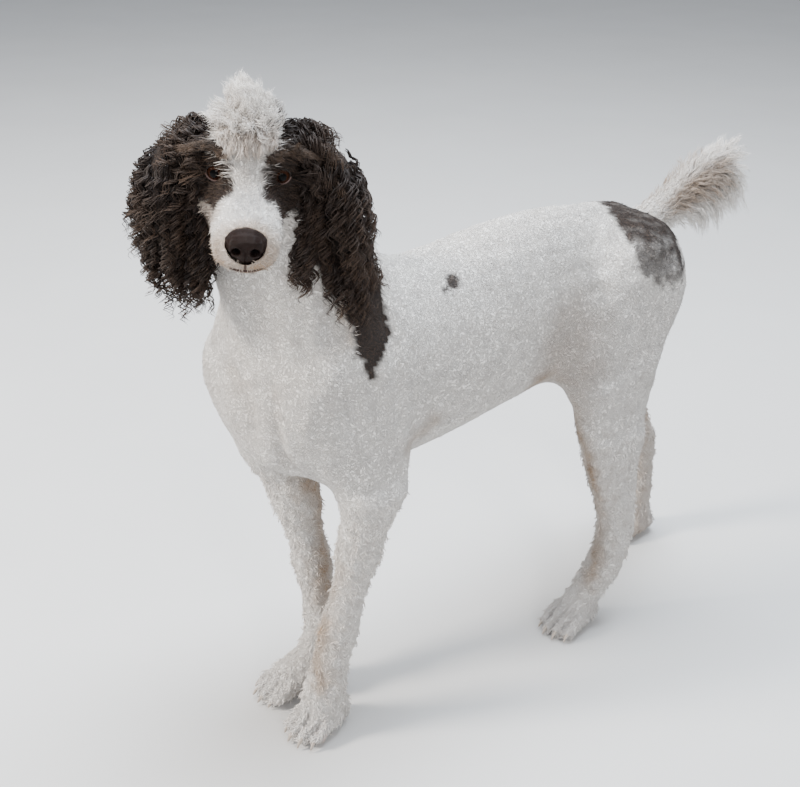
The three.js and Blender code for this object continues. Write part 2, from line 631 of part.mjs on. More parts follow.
// Ears: a cupped flap that hangs beside the head, and rows of wavy locks over it down to its tips
const earRoot = v3(46, 44, 10);
const flapUpper = { centre: v3(79, 46, -30), reach: v3(23, 40, 56) };
const flapLower = { centre: v3(77, 43, -86), reach: v3(21, 33, 40) };
const earHollow = { centre: v3(56, 43, -72), reach: v3(23, 29, 62) };
const earRows = 5;
const earColumns = 6;
const bodyClear = neckSkin(2.5).add(chestSkin(2.5)).transform(headInverse.elements);
for (const [side, sign, seed, spread, lean] of [['left', 1, 17, 1.42, 11], ['right', -1, 29, 1.15, -1]]) {
  const mirror = (v) => v3(sign * (v.x + lean), v.y, v.z);
  const mirrorWay = (v) => v3(sign * v.x, v.y, v.z);
  const upper = ball(mirror(flapUpper.centre), flapUpper.reach);
  const lower = ball(mirror(flapLower.centre), flapLower.reach);
  const stem = limb(mirror(earRoot), mirror(flapUpper.centre), 17, 15);
  const hollow = ball(mirror(earHollow.centre), earHollow.reach);
  const outer = (p) => blend(blend(upper(p), lower(p), 22), stem(p), 10);
  const flapCells = sign > 0 ? steps(27, 132, 14) : steps(-112, -8, 14);
  const flap = skin((p) => Math.max(outer(p), -hollow(p)), flapCells, steps(0, 100, 17), steps(-132, 54, 19));
  const draw = drawFrom(seed);
  const locks = [];
  for (let row = 0; row < earRows; row += 1) for (let column = 0; column < earColumns; column += 1) {
    const down = (row + 0.3 * draw()) / (earRows - 1);
    const over = (column + 0.5 * (row % 2) + 0.15 * draw()) / (earColumns - 0.5) * 2 - 1;
    const turn = over * 1.9 + 0.1;
    const aim = v3(Math.cos(turn), Math.sin(turn), 0);
    const root = mirror(v3(66, 45, 16 - 128 * down));
    while (outer(root) < 0) root.addScaledVector(mirrorWay(aim), 0.5);
    const way = aim.clone().multiplyScalar(0.62).add(v3(0, 0, -0.55 - 0.35 * down));
    const length = (50 + 6 * draw()) * spread;
    locks.push(lock(root, mirrorWay(way), { length, width: 12, thin: 0.65, fall: 1.3, wave: 4.2 }, draw));
  }
  let ear = wasm.Manifold.union([flap, ...locks]);
  ear = ear.subtract(bodyClear).subtract(grown(headSkin(0), v3(0, 40, -10), 1.008));
  ear = cut(ear, parting(sign).point, reverse(parting(sign).away));
  addNode(`ear_${side}`, ear, 'brown', headGroup);
}

// Tail: a core in short hair, and locks round it that lengthen towards its end
const tailJoints = [[0, 288, 543, 20], [0, 335, 562, 17], [0, 385, 588, 17], [0, 430, 604, 17]];
const tailCore = skin(chain(tailJoints, 10), steps(-30, 32, 13), steps(262, 472, 19), steps(513, 642, 14));
const tailLine = new THREE.CatmullRomCurve3(tailJoints.map((joint) => v3(...joint.slice(0, 3))));
const tailCount = 21;
const tailDraw = drawFrom(41);
const tailLocks = Array.from({ length: tailCount }, (_, i) => {
  const along = 0.28 + 0.72 * Math.sqrt((i + 0.5) / tailCount);
  const angle = i * goldenTurn;
  const way = tailLine.getTangent(along);
  const beside = v3(Math.cos(angle), 0, 0).add(v3(0, -way.z, way.y).multiplyScalar(Math.sin(angle)));
  const root = tailLine.getPoint(along).addScaledVector(beside, 12);
  const under = Math.max(0, -beside.z);
  const length = (13 + 22 * along + 26 * under) * (1 + 0.12 * tailDraw());
  const lean = beside.clone().addScaledVector(way, 0.9 + 0.5 * along);
  return lock(root, lean, { length, width: 10.5, thin: 0.75, fall: 0.5, wave: 2.6 }, tailDraw);
});
const tail = wasm.Manifold.union([tailCore, ...tailLocks]);
addNode('tail', tail.subtract(backSkin(0.8)), 'cream');

// The origin is on the floor, below the middle of the whole dog
group.updateMatrixWorld(true);
const reach = new THREE.Box3().setFromObject(group, true);
group.position.set(-(reach.min.x + reach.max.x) / 2, -(reach.min.y + reach.max.y) / 2, 0);

export default group;
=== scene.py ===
import math

import bmesh
import bpy
import numpy as np
from mathutils import Matrix, Vector
from mathutils.bvhtree import BVHTree


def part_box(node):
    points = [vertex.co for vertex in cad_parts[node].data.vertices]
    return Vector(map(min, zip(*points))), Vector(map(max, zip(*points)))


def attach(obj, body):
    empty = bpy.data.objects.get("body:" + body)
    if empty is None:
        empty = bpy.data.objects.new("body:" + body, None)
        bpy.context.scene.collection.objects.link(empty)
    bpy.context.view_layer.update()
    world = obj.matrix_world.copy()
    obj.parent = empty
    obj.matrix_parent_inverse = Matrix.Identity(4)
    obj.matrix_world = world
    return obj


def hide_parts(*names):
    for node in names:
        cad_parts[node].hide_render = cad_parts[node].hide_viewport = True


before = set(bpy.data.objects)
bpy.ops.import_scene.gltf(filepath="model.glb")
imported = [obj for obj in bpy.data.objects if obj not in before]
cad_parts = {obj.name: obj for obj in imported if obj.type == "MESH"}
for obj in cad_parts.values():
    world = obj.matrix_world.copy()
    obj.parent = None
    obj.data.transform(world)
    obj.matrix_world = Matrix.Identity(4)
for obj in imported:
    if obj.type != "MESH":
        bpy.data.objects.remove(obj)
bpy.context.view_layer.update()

mm = 0.001
goldenTurn = 2.39996  # radians from each lock to the next, which spread them evenly
scene = bpy.context.scene

# Where the head stands, and how it turns: the same values as the solids have
headPose = {
    "turn": 61.5,  # degrees to the dog's left
    "dip": 6.0,
    "tilt": 4.3,
    "eyeBack": 7.0,  # how far the eyes' centres lie behind the head's own origin
    "place": (58.0, -308.0, 713.0),  # the head's origin in the dog's floor frame
}


def middleOf(node):
    low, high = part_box(node)
    return (low + high) / 2


def turned(angle, axis):
    return Matrix.Rotation(math.radians(angle), 3, axis)


headTurn = turned(headPose["turn"], "Z") @ turned(headPose["dip"], "X") @ turned(headPose["tilt"], "Y")
headSpot = (middleOf("eye_left") + middleOf("eye_right")) / 2
headSpot -= headTurn @ Vector((0, headPose["eyeBack"] * mm, 0))
headAxes = np.array(headTurn)
headPlace = np.array(headSpot)
dogPlace = np.array(headSpot - Vector(headPose["place"]) * mm)


# Points in metres to millimetres in the head's frame, h from here on, or in the dog's floor frame, q,
# and back
def toHead(points):
    return (points - headPlace) @ headAxes / mm


def fromHead(local):
    return np.asarray(local, float) * mm @ headAxes.T + headPlace


def toDog(points):
    return (points - dogPlace) / mm


def fromDog(local):
    return np.asarray(local, float) * mm + dogPlace


# Small helpers on arrays of numbers and vectors
def norm(vectors):
    return np.linalg.norm(vectors, axis=-1)


def unit(vectors):
    return vectors / np.maximum(norm(vectors), 1e-9)[..., None]


def columns(*parts):
    return np.stack(np.broadcast_arrays(*parts), axis=-1)


def ramp(values, low, high):
    t = np.clip((values - low) / (high - low), 0, 1)
    return t * t * (3 - 2 * t)


def bell(values, width):
    return np.exp(-(values / width) ** 2)


def mixed(a, b, share):
    return a + (b - a) * share


def flat(vectors, normals):
    return unit(vectors - (vectors * normals).sum(-1, keepdims=True) * normals)


def ripple(points, size, seed):
    draw = np.random.default_rng(seed)
    total = np.zeros(len(points))
    for _ in range(7):
        way = unit(draw.normal(size=3))
        turns = points @ way * draw.uniform(0.7, 1.5) / size
        total += np.sin(2 * np.pi * turns + draw.uniform(0, 6.3))
    return total / 3.5


def swirl(points, size, seed):
    return columns(*(ripple(points, size, seed + axis) for axis in range(3)))


def lineDistance(points, line):
    line = np.array(line, float)
    nearest = np.full(len(points), 1e9)
    for start, end in zip(line[:-1], line[1:]):
        way = end - start
        t = np.clip((points - start) @ way / (way @ way), 0, 1)
        nearest = np.minimum(nearest, norm(points - start - t[:, None] * way))
    return nearest


# Lines of two folds of the chest, which also get painted shade, in the dog's frame
chestFold = ((-21, -305, 475), (17, -310, 467), (30, -309, 455), (37, -310, 436), (35, -309, 416))
throatFold = ((52, -294, 480), (60, -295, 464), (66, -295, 437), (63, -289, 398), (53, -268, 364))

# Markings: how dark, tan, grey or bare the coat and skin are at each point, from 0 to 1; the tan and grey
# also carry some painted shade
markSettings = {
    "faceFront": -37.0,  # in the head's frame, as are the mouth's values
    "faceLow": -38.0,
    "shoulderTip": 480.0,
    "shoulderTall": 44.0,
    "shoulderHalf": 25.0,
    "shoulderMiddle": -188.0,
    "rumpFront": 197.0,
    "rumpRear": 284.0,
    "rumpLow": 500.0,
    "spots": ((52, -54, 550, 9.5), (56, -66, 543, 3.8)),
    "stainsAndShade": (  # half width, strength, then the line of each tan stain and each line of painted shade, in the dog's frame
        (14, 1.0, (
            (62, 143, 310), (78, 148, 280), (83, 160, 221), (82, 170, 170), (82, 179, 121), (89, 160, 80))),
        (18, 0.8, ((49, 90, 380), (54, 110, 350), (58, 135, 325))),
        # partly pinkish-brown hair, partly painted shade where the left foreleg meets the body
        (15, 0.65, ((91, -134, 375), (78, -108, 379), (80, -96, 390))),
        # partly tan hair, partly painted shade on the inner face of the right foreleg
        (20, 1.0, (
            (-26, -206, 294), (-34, -182, 265), (-25, -180, 208), (-19, -185, 179), (-11, -193, 142))),
        (17, 0.9, ((67, -246, 160), (62, -250, 116), (71, -255, 96), (80, -257, 86))),
        (12, 0.75, ((74, -227, 240), (67, -232, 202), (66, -244, 163))),
        (10, 0.9, ((86, -218, 564), (92, -216, 547), (98, -214, 532))),
        # painted shade along the two chest folds
        (6, 0.4, chestFold[:4]),
        (6, 0.45, throatFold),
        (7, 0.7, ((-46, 348, 200), (-46, 352, 165))),
    ),
    "pinkSpot": (88, -262, 14),
    "noseSpot": (0, -97, -38),
    "rustSpot": (23, -72, -57),
    # the middle of the painted shade on the left flank
    "flankShadeSpot": (80, 112, 415),
    "mouthHeight": -57.0,
    "mouthCorner": -24.0,
    "mouthFront": -66.0,
    "headRoot": (-14, -262, 668),  # where the head joins the neck, and which way is up from there
    "headWay": (0.25, -0.15, 0.95),
}


def mouthLevel(h):
    s = markSettings
    x, y, _ = h.T
    back = np.clip((y - s["mouthFront"]) / (s["mouthCorner"] - s["mouthFront"]), 0, 1.2)
    return s["mouthHeight"] + 5 * back ** 2 + 2.5 * np.clip(np.abs(x) / 20, 0, 1) ** 2


# How far each point lies on the head's side of its seam with the neck, and its share of the head
def headSide(q):
    return (q - markSettings["headRoot"]) @ markSettings["headWay"]


def headShare(q, reach=15):
    return ramp(headSide(q), -reach, reach)


def faceMarks(h, wobble):
    # A white blaze between two dark patches that take in the eyes and reach back to the ears
    s = markSettings
    x, y, z = h.T
    off = np.abs(x)
    blaze = 13 + 13 * ramp(z, 9, 27) + np.where(x < 0, 2 + 4 * ramp(z, 18, 32), 0)
    side = ramp(off + 0.7 * wobble, blaze - 2.5, blaze + 4)
    front = ramp(y - 0.25 * (z + 10) + wobble, s["faceFront"] - 5, s["faceFront"] + 5)
    nape = 26 * ramp(y, 30, 62) * ramp(off + wobble, 16, 40)
    low = ramp(z + nape + wobble + np.where(x < 0, -8, 0), s["faceLow"] - 6, s["faceLow"] + 6)
    low = np.maximum(low, ramp(off, 44, 50) * ramp(y, 14, 24) * ramp(z, -75, -60))
    crown = ramp(z + wobble, 30, 37) * (1 - ramp(off + wobble, 24, 33) * ramp(y, 8, 24))
    return side * front * low * (1 - crown)


def bodyMarks(q, wobble):
    s = markSettings
    x, y, z = q.T
    rise = np.clip((z - s["shoulderTip"]) / s["shoulderTall"], 0, 1)
    across = np.abs(y - s["shoulderMiddle"] + 11 * (1 - rise)) + 1.2 * wobble
    shoulder = ramp(s["shoulderHalf"] * rise ** 0.8 - across, -2.5, 2.5)
    shoulder = shoulder * ramp(x, 38, 52) * ramp(rise, 0, 0.05)
    nape = ramp(y + 0.4 * (z - 600) + wobble, -246, -232) * ramp(z + wobble, 566, 584) * ramp(-y, 165, 180)
    dark = np.maximum(shoulder, nape * ramp(x, 14, 30))
    behind = np.maximum(314 - 0.4 * np.abs(x), s["rumpRear"]) + 0.3 * (520 - z).clip(0, 30)
    front = s["rumpFront"] + 1.3 * (524 - z).clip(0, 40) + 0.55 * (40 - x).clip(0, 80)
    within = np.minimum(y - front, behind - y) + 1.4 * wobble
    rump = ramp(within, -5, 7) * ramp(z + 2 * wobble, s["rumpLow"] - 10, s["rumpLow"] + 12)
    rump *= ramp(x + wobble, -66, -44) * np.maximum(ramp(x, 24, 44), ramp(z + wobble, 538, 554))
    rear = ramp(22 - (behind - y), 0, 12)
    strong = 0.8 + 0.2 * ramp(z + 3 * wobble, 532, 562) + 0.26 * rear
    strong -= 0.09 * ramp(ripple(q, 21, 14), -0.2, 1.3) * (1 - rear)
    dark = np.maximum(dark, rump * np.clip(strong, 0, 1))
    for *place, radius in s["spots"]:
        dark = np.maximum(dark, 0.95 * ramp(radius + 0.25 * wobble - norm(q - place), -1.5, 1.5))
    return dark


def markings(points):
    s = markSettings
    q = toDog(points)
    h = toHead(points)
    _, y, z = q.T
    hx, hy, hz = h.T
    off = np.abs(hx)
    wobble = 4 * ripple(q, 24, 1) + 2.4 * ripple(q, 8, 2)
    lower = 24 * ramp(hy, 34, 62) * ramp(off + 2 * wobble, 16, 42)
    onHead = ramp(headSide(q) + wobble + lower, -12, 8)
    onBody = 1 - onHead
    dark = np.maximum(onHead * faceMarks(h, wobble), onBody * bodyMarks(q, wobble))

    # Tan: cheek, muzzle and lips, the stained hair of the legs and groin, and the tail, with painted shade
    # in the chest folds, inside the right foreleg, under the left elbow and on the flank
    cheek = onHead * ramp(-hx, 16, 28) * ramp(-hz, 10, 24) * ramp(hy, -74, -40)
    nearNose = onHead * ramp(26 - norm((h - s["noseSpot"]) * (0.8, 0.7, 1)), -8, 5)
    level = mouthLevel(h)
    lipNear = onHead * ramp(10 - np.abs(hz - level), 0, 6) * ramp(-hy, 20, 34)
    rust = 0.9 * ramp(7 - norm(h - s["rustSpot"]), -3, 4)
    stainAndShade = np.zeros(len(q))
    patchy = 1 + 0.3 * ripple(q, 22, 6)
    # the tan stains, with painted shade along the chest folds and in the crevices of the forelegs
    for half, strength, line in s["stainsAndShade"]:
        stainAndShade = np.maximum(stainAndShade, strength * bell(lineDistance(q, line), half * patchy))
    # painted shade: the left flank darker, in tan and grey, in front of the thigh
    flankShade = ramp(80 - norm((q - s["flankShadeSpot"]) * (0.6, 1.2, 0.6)), 0, 60)
    tail = ramp(y, 322, 350) * ramp(428 - y, 0, 36) * ramp(606 - z, -6, 14)
    tan = 0.85 * cheek + 0.85 * nearNose + 0.6 * lipNear + rust
    tan = tan + onBody * stainAndShade + 0.55 * tail
    worn = ramp(ripple(q, 15, 15) + 0.5 * ripple(q, 6, 16), -0.3, 1.2)
    worn = worn * ramp(360 - z, 0, 80) * ramp(z, 20, 70)
    thigh = ramp(ripple(q, 9, 17) + 0.6 * ripple(q, 20, 18), -0.1, 1.2)
    thigh = thigh * ramp(y, 120, 170) * ramp(470 - z, 0, 90) * ramp(z, 130, 240)
    warm = 0.09 * ramp(-y, 190, 290) * ramp(z, 300, 420) + 0.16 * worn
    tan = np.clip(tan + 0.36 * flankShade + onBody * (warm + 0.1 * thigh), 0, 1) * (1 - dark)

    # Grey: the bridge of the nose, the mottled body and the toes, with painted shade on the flank and in the
    # partings between the toes
    bridge = onHead * ramp(17 - off, 0, 9) * ramp(-hy, 24, 40) * ramp(92 + hy, -4, 14) * ramp(hz, -30, -16)
    mottle = ramp(ripple(q, 30, 7) + 0.6 * ripple(q, 11, 8), -0.2, 1.2) * ramp(z, 300, 400)
    # painted shade: grey in the partings between the toes, on top of the toes' own grey
    toes = ramp(60 - z, 0, 30) * (0.12 + 0.3 * ramp(y, 60, 100)) + 0.6 * toeGrooves(q)
    grey = 0.7 * bridge * (0.7 + 0.6 * ripple(h, 9, 12))
    grey = grey + (0.3 * mottle + 0.14 * worn + 0.3 * thigh) * onBody + toes + 0.42 * flankShade

    lips = onHead * ramp(2.8 - np.abs(hz - level), -1.4, 1.2) * ramp(-hy, 26, 50)
    lips = lips * (0.35 + 0.65 * ramp(18 - off, 0, 10))
    philtrum = ramp(1.7 - off, 0, 0.8) * ramp(-hy, 84, 90) * ramp(hz, level - 2, level)
    lips = np.maximum(lips, 0.85 * onHead * philtrum * ramp(-hz, 36, 40))
    pinkSpot = 0.7 * ramp(7 - norm(q - s["pinkSpot"]), -3, 3)
    return {"dark": dark, "tan": tan, "grey": np.clip(grey, 0, 1), "bare": lips, "pink": pinkSpot}


# Shader maths: a value from a node's socket that combines with numbers and other values
def operator(operation, reflected):
    def combined(self, other):
        first, second = (other, self) if reflected else (self, other)
        return self.look.node("ShaderNodeMath", {"operation": operation}, {0: first, 1: second})
    return combined


class Value:
    def __init__(self, look, socket):
        self.look = look
        self.socket = socket

    __add__, __radd__ = (operator("ADD", reflected) for reflected in (False, True))
    __sub__, __rsub__ = (operator("SUBTRACT", reflected) for reflected in (False, True))
    __mul__, __rmul__ = (operator("MULTIPLY", reflected) for reflected in (False, True))


class Look:
    def __init__(self, name):
        self.material = bpy.data.materials.new(name)
        self.material.use_nodes = True
        self.tree = self.material.node_tree
        self.surface = self.tree.nodes["Principled BSDF"]

    def feed(self, socket, value):
        if isinstance(value, Value):
            self.tree.links.new(value.socket, socket)
        else:
            socket.default_value = value

    def node(self, kind, settings=None, sockets=None, result=0):
        made = self.tree.nodes.new(kind)
        for key, value in (settings or {}).items():
            setattr(made, key, value)
        for key, value in (sockets or {}).items():
            self.feed(made.inputs[key], value)
        return Value(self, made.outputs[result])

    def blend(self, share, first, second):
        settings = {"data_type": "RGBA", "clamp_factor": True}
        return self.node("ShaderNodeMix", settings, {0: share, 6: first, 7: second}, 2)

    def places(self):
        return self.node("ShaderNodeTexCoord", result="Object")

    def mark(self, name):
        return self.node("ShaderNodeAttribute", {"attribute_name": name}, result="Fac")

    def noise(self, scale, detail=3.0, rough=0.55, twist=0.0):
        sockets = {"Vector": self.places(), "Scale": scale, "Detail": detail, "Roughness": rough}
        sockets["Distortion"] = twist
        return self.node("ShaderNodeTexNoise", None, sockets, "Fac")

    def stretch(self, value, low, high):
        return self.node("ShaderNodeMapRange", None, {0: value, 1: low, 2: high})

    def bump(self, height, distance, strength=1.0):
        sockets = {"Height": height, "Distance": distance, "Strength": strength}
        return self.node("ShaderNodeBump", None, sockets, "Normal")

    def finish(self, colour, rough, shine=None, normal=None):
        sockets = {"Base Color": colour, "Roughness": rough, "Specular IOR Level": shine, "Normal": normal}
        for name, value in sockets.items():
            if value is not None:
                self.feed(self.surface.inputs[name], value)
        return self.material


def rgb(red, green, blue):
    return (red, green, blue, 1.0)


# Colours of the coat, shared by the skin and every tuft, so that the markings agree
coatColours = {
    "white": rgb(0.83, 0.80, 0.76),
    # shade: a darker white for random tone, and also the painted shade of the partings and of the tufts'
    # roots
    "shade": rgb(0.58, 0.52, 0.475),
    "tan": rgb(0.31, 0.19, 0.10),
    "grey": rgb(0.30, 0.285, 0.29),
    "dark": rgb(0.020, 0.014, 0.012),
    "darkTip": rgb(0.110, 0.068, 0.043),
    "bare": rgb(0.055, 0.028, 0.024),
    "pink": rgb(0.45, 0.20, 0.16),
}


def coatLook(name, onSkin):
    # The short coat that lies flat is in the skin's bump, with painted shade that darkens its partings
    look = Look(name)
    c = coatColours
    soft = look.stretch(look.noise(38, 4), 0.35, 0.7)
    fine = look.stretch(look.noise(420, 3), 0.3, 0.7)
    crimp = look.noise(150, 3, 0.6, 2.2)
    ridge = look.node("ShaderNodeMath", {"operation": "ABSOLUTE"}, {0: crimp - 0.5})
    parting = look.stretch(ridge, 0.0, 0.09)
    white = look.blend(0.22 * soft + 0.14 * fine, c["white"], c["shade"])
    along = look.mark("along")
    tone = look.mark("tone")
    colour = look.blend(look.mark("grey") * (0.6 + 0.4 * fine), white, c["grey"])
    colour = look.blend(look.mark("tan") * (0.65 + 0.35 * soft), colour, c["tan"])
    if onSkin:
        # painted shade: the skin darker in the partings, and the dark coat lighter brown away from them
        colour = look.blend(0.5 * (1 - parting), colour, c["shade"])
        brown = look.blend(0.35 * parting * fine, c["dark"], c["darkTip"])
    else:
        # painted shade: each tuft darker towards its root, among the other hairs
        colour = look.blend(0.42 - 0.30 * along, colour, c["shade"])
        colour = look.blend(0.22 * tone, colour, c["shade"])
        brown = look.blend(along * along * (0.15 + 0.85 * tone), c["dark"], c["darkTip"])
    colour = look.blend(look.mark("dark"), colour, brown)
    for key in ("bare", "pink"):
        colour = look.blend(look.mark(key), colour, c[key])
    if onSkin:
        wave = look.noise(75, 2, 0.5, 1.6)
        return look.finish(colour, 0.8, 0.25, look.bump(parting + 0.4 * fine + 1.3 * wave, 0.0024, 0.85))
    return look.finish(colour, 0.55, 0.2, look.bump(look.noise(1300, 2), 0.0004, 0.6))


# Meshes to pieces and arrays, and back
def placed(name, data, material=None):
    piece = bpy.data.objects.new(name, data)
    scene.collection.objects.link(piece)
    if material:
        data.materials.append(material)
    return piece


def meshFrom(work, name):
    mesh = bpy.data.meshes.new(name)
    work.to_mesh(mesh)
    work.free()
    mesh.shade_smooth()
    return mesh


def meshPiece(name, points, triangles, material):
    mesh = bpy.data.meshes.new(name)
    mesh.vertices.add(len(points))
    mesh.vertices.foreach_set("co", np.asarray(points, np.float32).ravel())
    mesh.loops.add(triangles.size)
    mesh.loops.foreach_set("vertex_index", triangles.astype(np.int32).ravel())
    mesh.polygons.add(len(triangles))
    mesh.polygons.foreach_set("loop_start", np.arange(0, triangles.size, triangles.shape[1], dtype=np.int32))
    mesh.update(calc_edges=True)
    mesh.shade_smooth()
    return placed(name, mesh, material)


def addMarks(piece, marks):
    for name, values in marks.items():
        layer = piece.data.attributes.new(name, "FLOAT", "POINT")
        layer.data.foreach_set("value", np.asarray(values, np.float32))


def gathered(items, key, kind=np.float32, each=3):
    values = np.empty(len(items) * each, kind)
    items.foreach_get(key, values)
    return values.reshape(-1, each)


def pointsOf(mesh):
    return gathered(mesh.vertices, "co").astype(float)


def normalsOf(mesh):
    return gathered(mesh.vertex_normals, "vector").astype(float)


def facesOf(mesh):
    mesh.calc_loop_triangles()
    return gathered(mesh.loop_triangles, "vertices", np.int32)


def setPoints(mesh, points):
    mesh.vertices.foreach_set("co", np.asarray(points, np.float32).ravel())
    mesh.update()


def reworked(piece, work):
    work.to_mesh(piece.data)
    work.free()
    piece.data.shade_smooth()


def applied(piece, modifier):
    # The piece takes the shape that its modifier gives it
    graph = bpy.context.evaluated_depsgraph_get()
    made = bpy.data.meshes.new_from_object(piece.evaluated_get(graph))
    piece.modifiers.remove(modifier)
    old = piece.data
    piece.data = made
    bpy.data.meshes.remove(old)
    made.name = piece.name
    made.shade_smooth()


def ballMesh(centre, radius):
    work = bmesh.new()
    bmesh.ops.create_icosphere(work, subdivisions=3, radius=radius, matrix=Matrix.Translation(centre))
    return meshFrom(work, "ball")


def evenCopy(name, nodes, voxel, material, fillers):
    # Copies of some nodes and fillers joined and remeshed, which closes the thin cuts between them
    points = []
    triangles = []
    count = 0
    for mesh in [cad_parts[node].data for node in nodes] + fillers:
        points.append(pointsOf(mesh))
        triangles.append(facesOf(mesh) + count)
        count += len(points[-1])
    piece = meshPiece(name, np.concatenate(points), np.concatenate(triangles), None)
    even = piece.modifiers.new("even", "REMESH")
    even.mode = "VOXEL"
    even.voxel_size = voxel
    applied(piece, even)
    piece.data.materials.append(material)
    return piece


def smoothed(points, mesh, amount, rounds, shares=(0.62, -0.64)):
    # Taubin smoothing: each second step gives back what the first one shrinks
    a, b = gathered(mesh.edges, "vertices", np.int32, 2).T
    count = len(points)
    near = np.maximum(np.bincount(a, minlength=count) + np.bincount(b, minlength=count), 1)
    for _ in range(rounds):
        for share in shares:
            total = columns(*(np.bincount(a, p[b], count) + np.bincount(b, p[a], count) for p in points.T))
            points = points + (total / near[:, None] - points) * (share * amount)[:, None]
    return points


# Skin: one closed surface for all the flesh, inside the solids by the depth of the coat
skinSettings = {
    "voxel": 0.0045,
    "rounds": 20,
    "depth": {"trunk": 3.2, "leg": 4.4, "paw": 4.0, "head": 3.4, "muzzle": 2.6},
    "joints": (  # places where parts join, how far each is eased, and in how many rounds
        ((100, -180, 338), (50, 60, 30), 23),
        ((-75, -220, 338), (50, 60, 30), 23),
        ((0, -150, 588), (110, 60, 45), 60),
        ((-90, -190, 560), (45, 70, 50), 60),
        ((12, -222, 676), (85, 50, 36), 60),
        ((-16, -196, 76), (40, 40, 26), 23),
        ((-32, -259, 738), (70, 60, 40), 50),
    ),
    "fillers": (  # rows of balls, in the dog's frame, behind the right forepaw and at the back of the head
        ((-18, -196, 92), 27.0, (-12, -215, 44), 20.0),
        ((-7, -284, 717), 32.0, (-31, -270, 660), 38.0),
        ((7, -258, 717), 32.0, (-17, -244, 660), 38.0),
    ),
    "folds": (  # half width, depth, then the line of each soft fold in the dog's frame
        (7, 4.5, ((89, -166, 545), (100, -163, 514), (107, -161, 474), (107, -157, 412), (107, -158, 355))),
        (7, 3.0, ((107, -223, 472), (107, -217, 429), (105, -218, 378), (103, -222, 334))),
        (7, 5.0, chestFold),
        (7, 6.0, throatFold),
        (6, 2.2, ((50, -255, 610), (74, -240, 560), (88, -228, 520))),
        (6, 2.0, ((20, -280, 600), (38, -282, 560), (50, -285, 520))),
    ),
    "toeHeight": 56,  # the paws are finer below this
    "groove": 4.5,
    "rough": 1.3,
}
fleshNodes = ["chest", "loin", "rump", "neck", "head"]
for part in ("foreleg", "forepaw", "thigh", "shank", "hindpaw"):
    fleshNodes += [part + "_left", part + "_right"]

eyeSettings = {
    "radius": 11.0,
    "across": 30.5,
    "wide": 9.3,
    "tall": 7.6,
    "lidOut": 12.3,
    "gaze": (0.22, -0.97, 0.02),
    "roundness": 1.75,
    "rimPoints": 56,
    "rimSides": 10,
    "rimThick": 0.8,
}


def eyeFrame(sign):
    s = eyeSettings
    centre = np.array((sign * s["across"], headPose["eyeBack"], 0.0))
    gaze = unit(np.array(s["gaze"]) * (sign, 1, 1))
    across = unit(np.cross(gaze, (0, 0, 1)))
    return centre, gaze, across, np.cross(across, gaze)


def almond(u, w):
    s = eyeSettings
    power = s["roundness"]
    return (np.abs(u / s["wide"]) ** power + np.abs(w / s["tall"]) ** power) ** (1 / power)


def nearEyes(h, limit):
    near = np.zeros(len(h), bool)
    for sign in (1, -1):
        centre, gaze, across, over = eyeFrame(sign)
        away = h - centre
        near |= (almond(away @ across, away @ over) < limit) & (away @ gaze > 0)
    return near


def legness(q):
    _, y, z = q.T
    return np.maximum(ramp(345 - z, 0, 60) * ramp(-y, 90, 140), ramp(330 - z, 0, 70) * ramp(y, 60, 110))


def coatDepth(points):
    d = skinSettings["depth"]
    q = toDog(points)
    onHead = headShare(q)
    depth = mixed(d["trunk"], d["leg"], legness(q))
    depth = mixed(depth, d["paw"], ramp(72 - q[:, 2], 0, 40))
    depth = mixed(depth, d["head"], onHead)
    return mixed(depth, d["muzzle"], onHead * ramp(-toHead(points)[:, 1], 10, 40))


def foldDepth(q):
    # How far each point sinks into the soft folds of the neck, chest and shoulder
    total = np.zeros(len(q))
    for half, deep, line in skinSettings["folds"]:
        total += deep * bell(lineDistance(q, line), half)
    return total


pawNames = [leg + "paw_" + side for leg in ("fore", "hind") for side in ("left", "right")]


def toeGrooves(q):
    # From 0 to 1 in the partings between the toes, which run back from between the claws
    total = np.zeros(len(q))
    for paw in pawNames:
        claws = [toDog(np.array(middleOf(f"claw_{paw}_{toe}"))) for toe in (1, 2, 3, 4)]
        for left, right in zip(claws[:-1], claws[1:]):
            x, y, _ = (left + right) / 2
            back = q[:, 1] - y
            near = ramp(back, -14, -6) * ramp(38 - back, 0, 20) * ramp(62 - q[:, 2], 0, 16)
            total = np.maximum(total, near * bell(q[:, 0] - x, 2.6))
    return total


def carveFace(points):
    # Lids round the eyes, the line of the mouth and the lips, in the head's frame
    h = toHead(points)
    s = eyeSettings
    for sign in (1, -1):
        centre, gaze, across, over = eyeFrame(sign)
        away = h - centre
        reach = norm(away)
        front = ramp(away @ gaze / np.maximum(reach, 1e-6), 0.2, 0.5) * ramp(26 - reach, 0, 6)
        e = almond(away @ across, away @ over)
        inside = ramp(1.04 - e, 0, 0.1)
        lids = ramp(2.1 - e, 0, 0.8)
        fold = 0.9 * bell(e - 1.75, 0.16) * (away @ over > 0)
        wanted = mixed(mixed(reach, s["lidOut"], lids), s["radius"] - 2.5, inside) - fold
        h = h + away / np.maximum(reach, 1e-6)[:, None] * ((wanted - reach) * front)[:, None]
    near = ramp(-h[:, 1], 20, 30) * ramp(headSide(toDog(fromHead(h))), -8, 4)
    rise = h[:, 2] - mouthLevel(h)
    out = 1.1 * bell(rise - 3.2, 1.9) + 0.7 * bell(rise + 3.0, 1.8) - 2.3 * bell(rise, 1.15)
    level = columns(h[:, 0], np.minimum(h[:, 1] + 62, 0), 0)
    h = h + unit(level) * (out * near)[:, None]
    furrow = bell(h[:, 0], 1.0) * ramp(-h[:, 1], 88, 94) * ramp(-h[:, 2], 36, 42)
    h[:, 1] += 1.5 * furrow * ramp(h[:, 2] - mouthLevel(h), 0, 3)
    return fromHead(h)


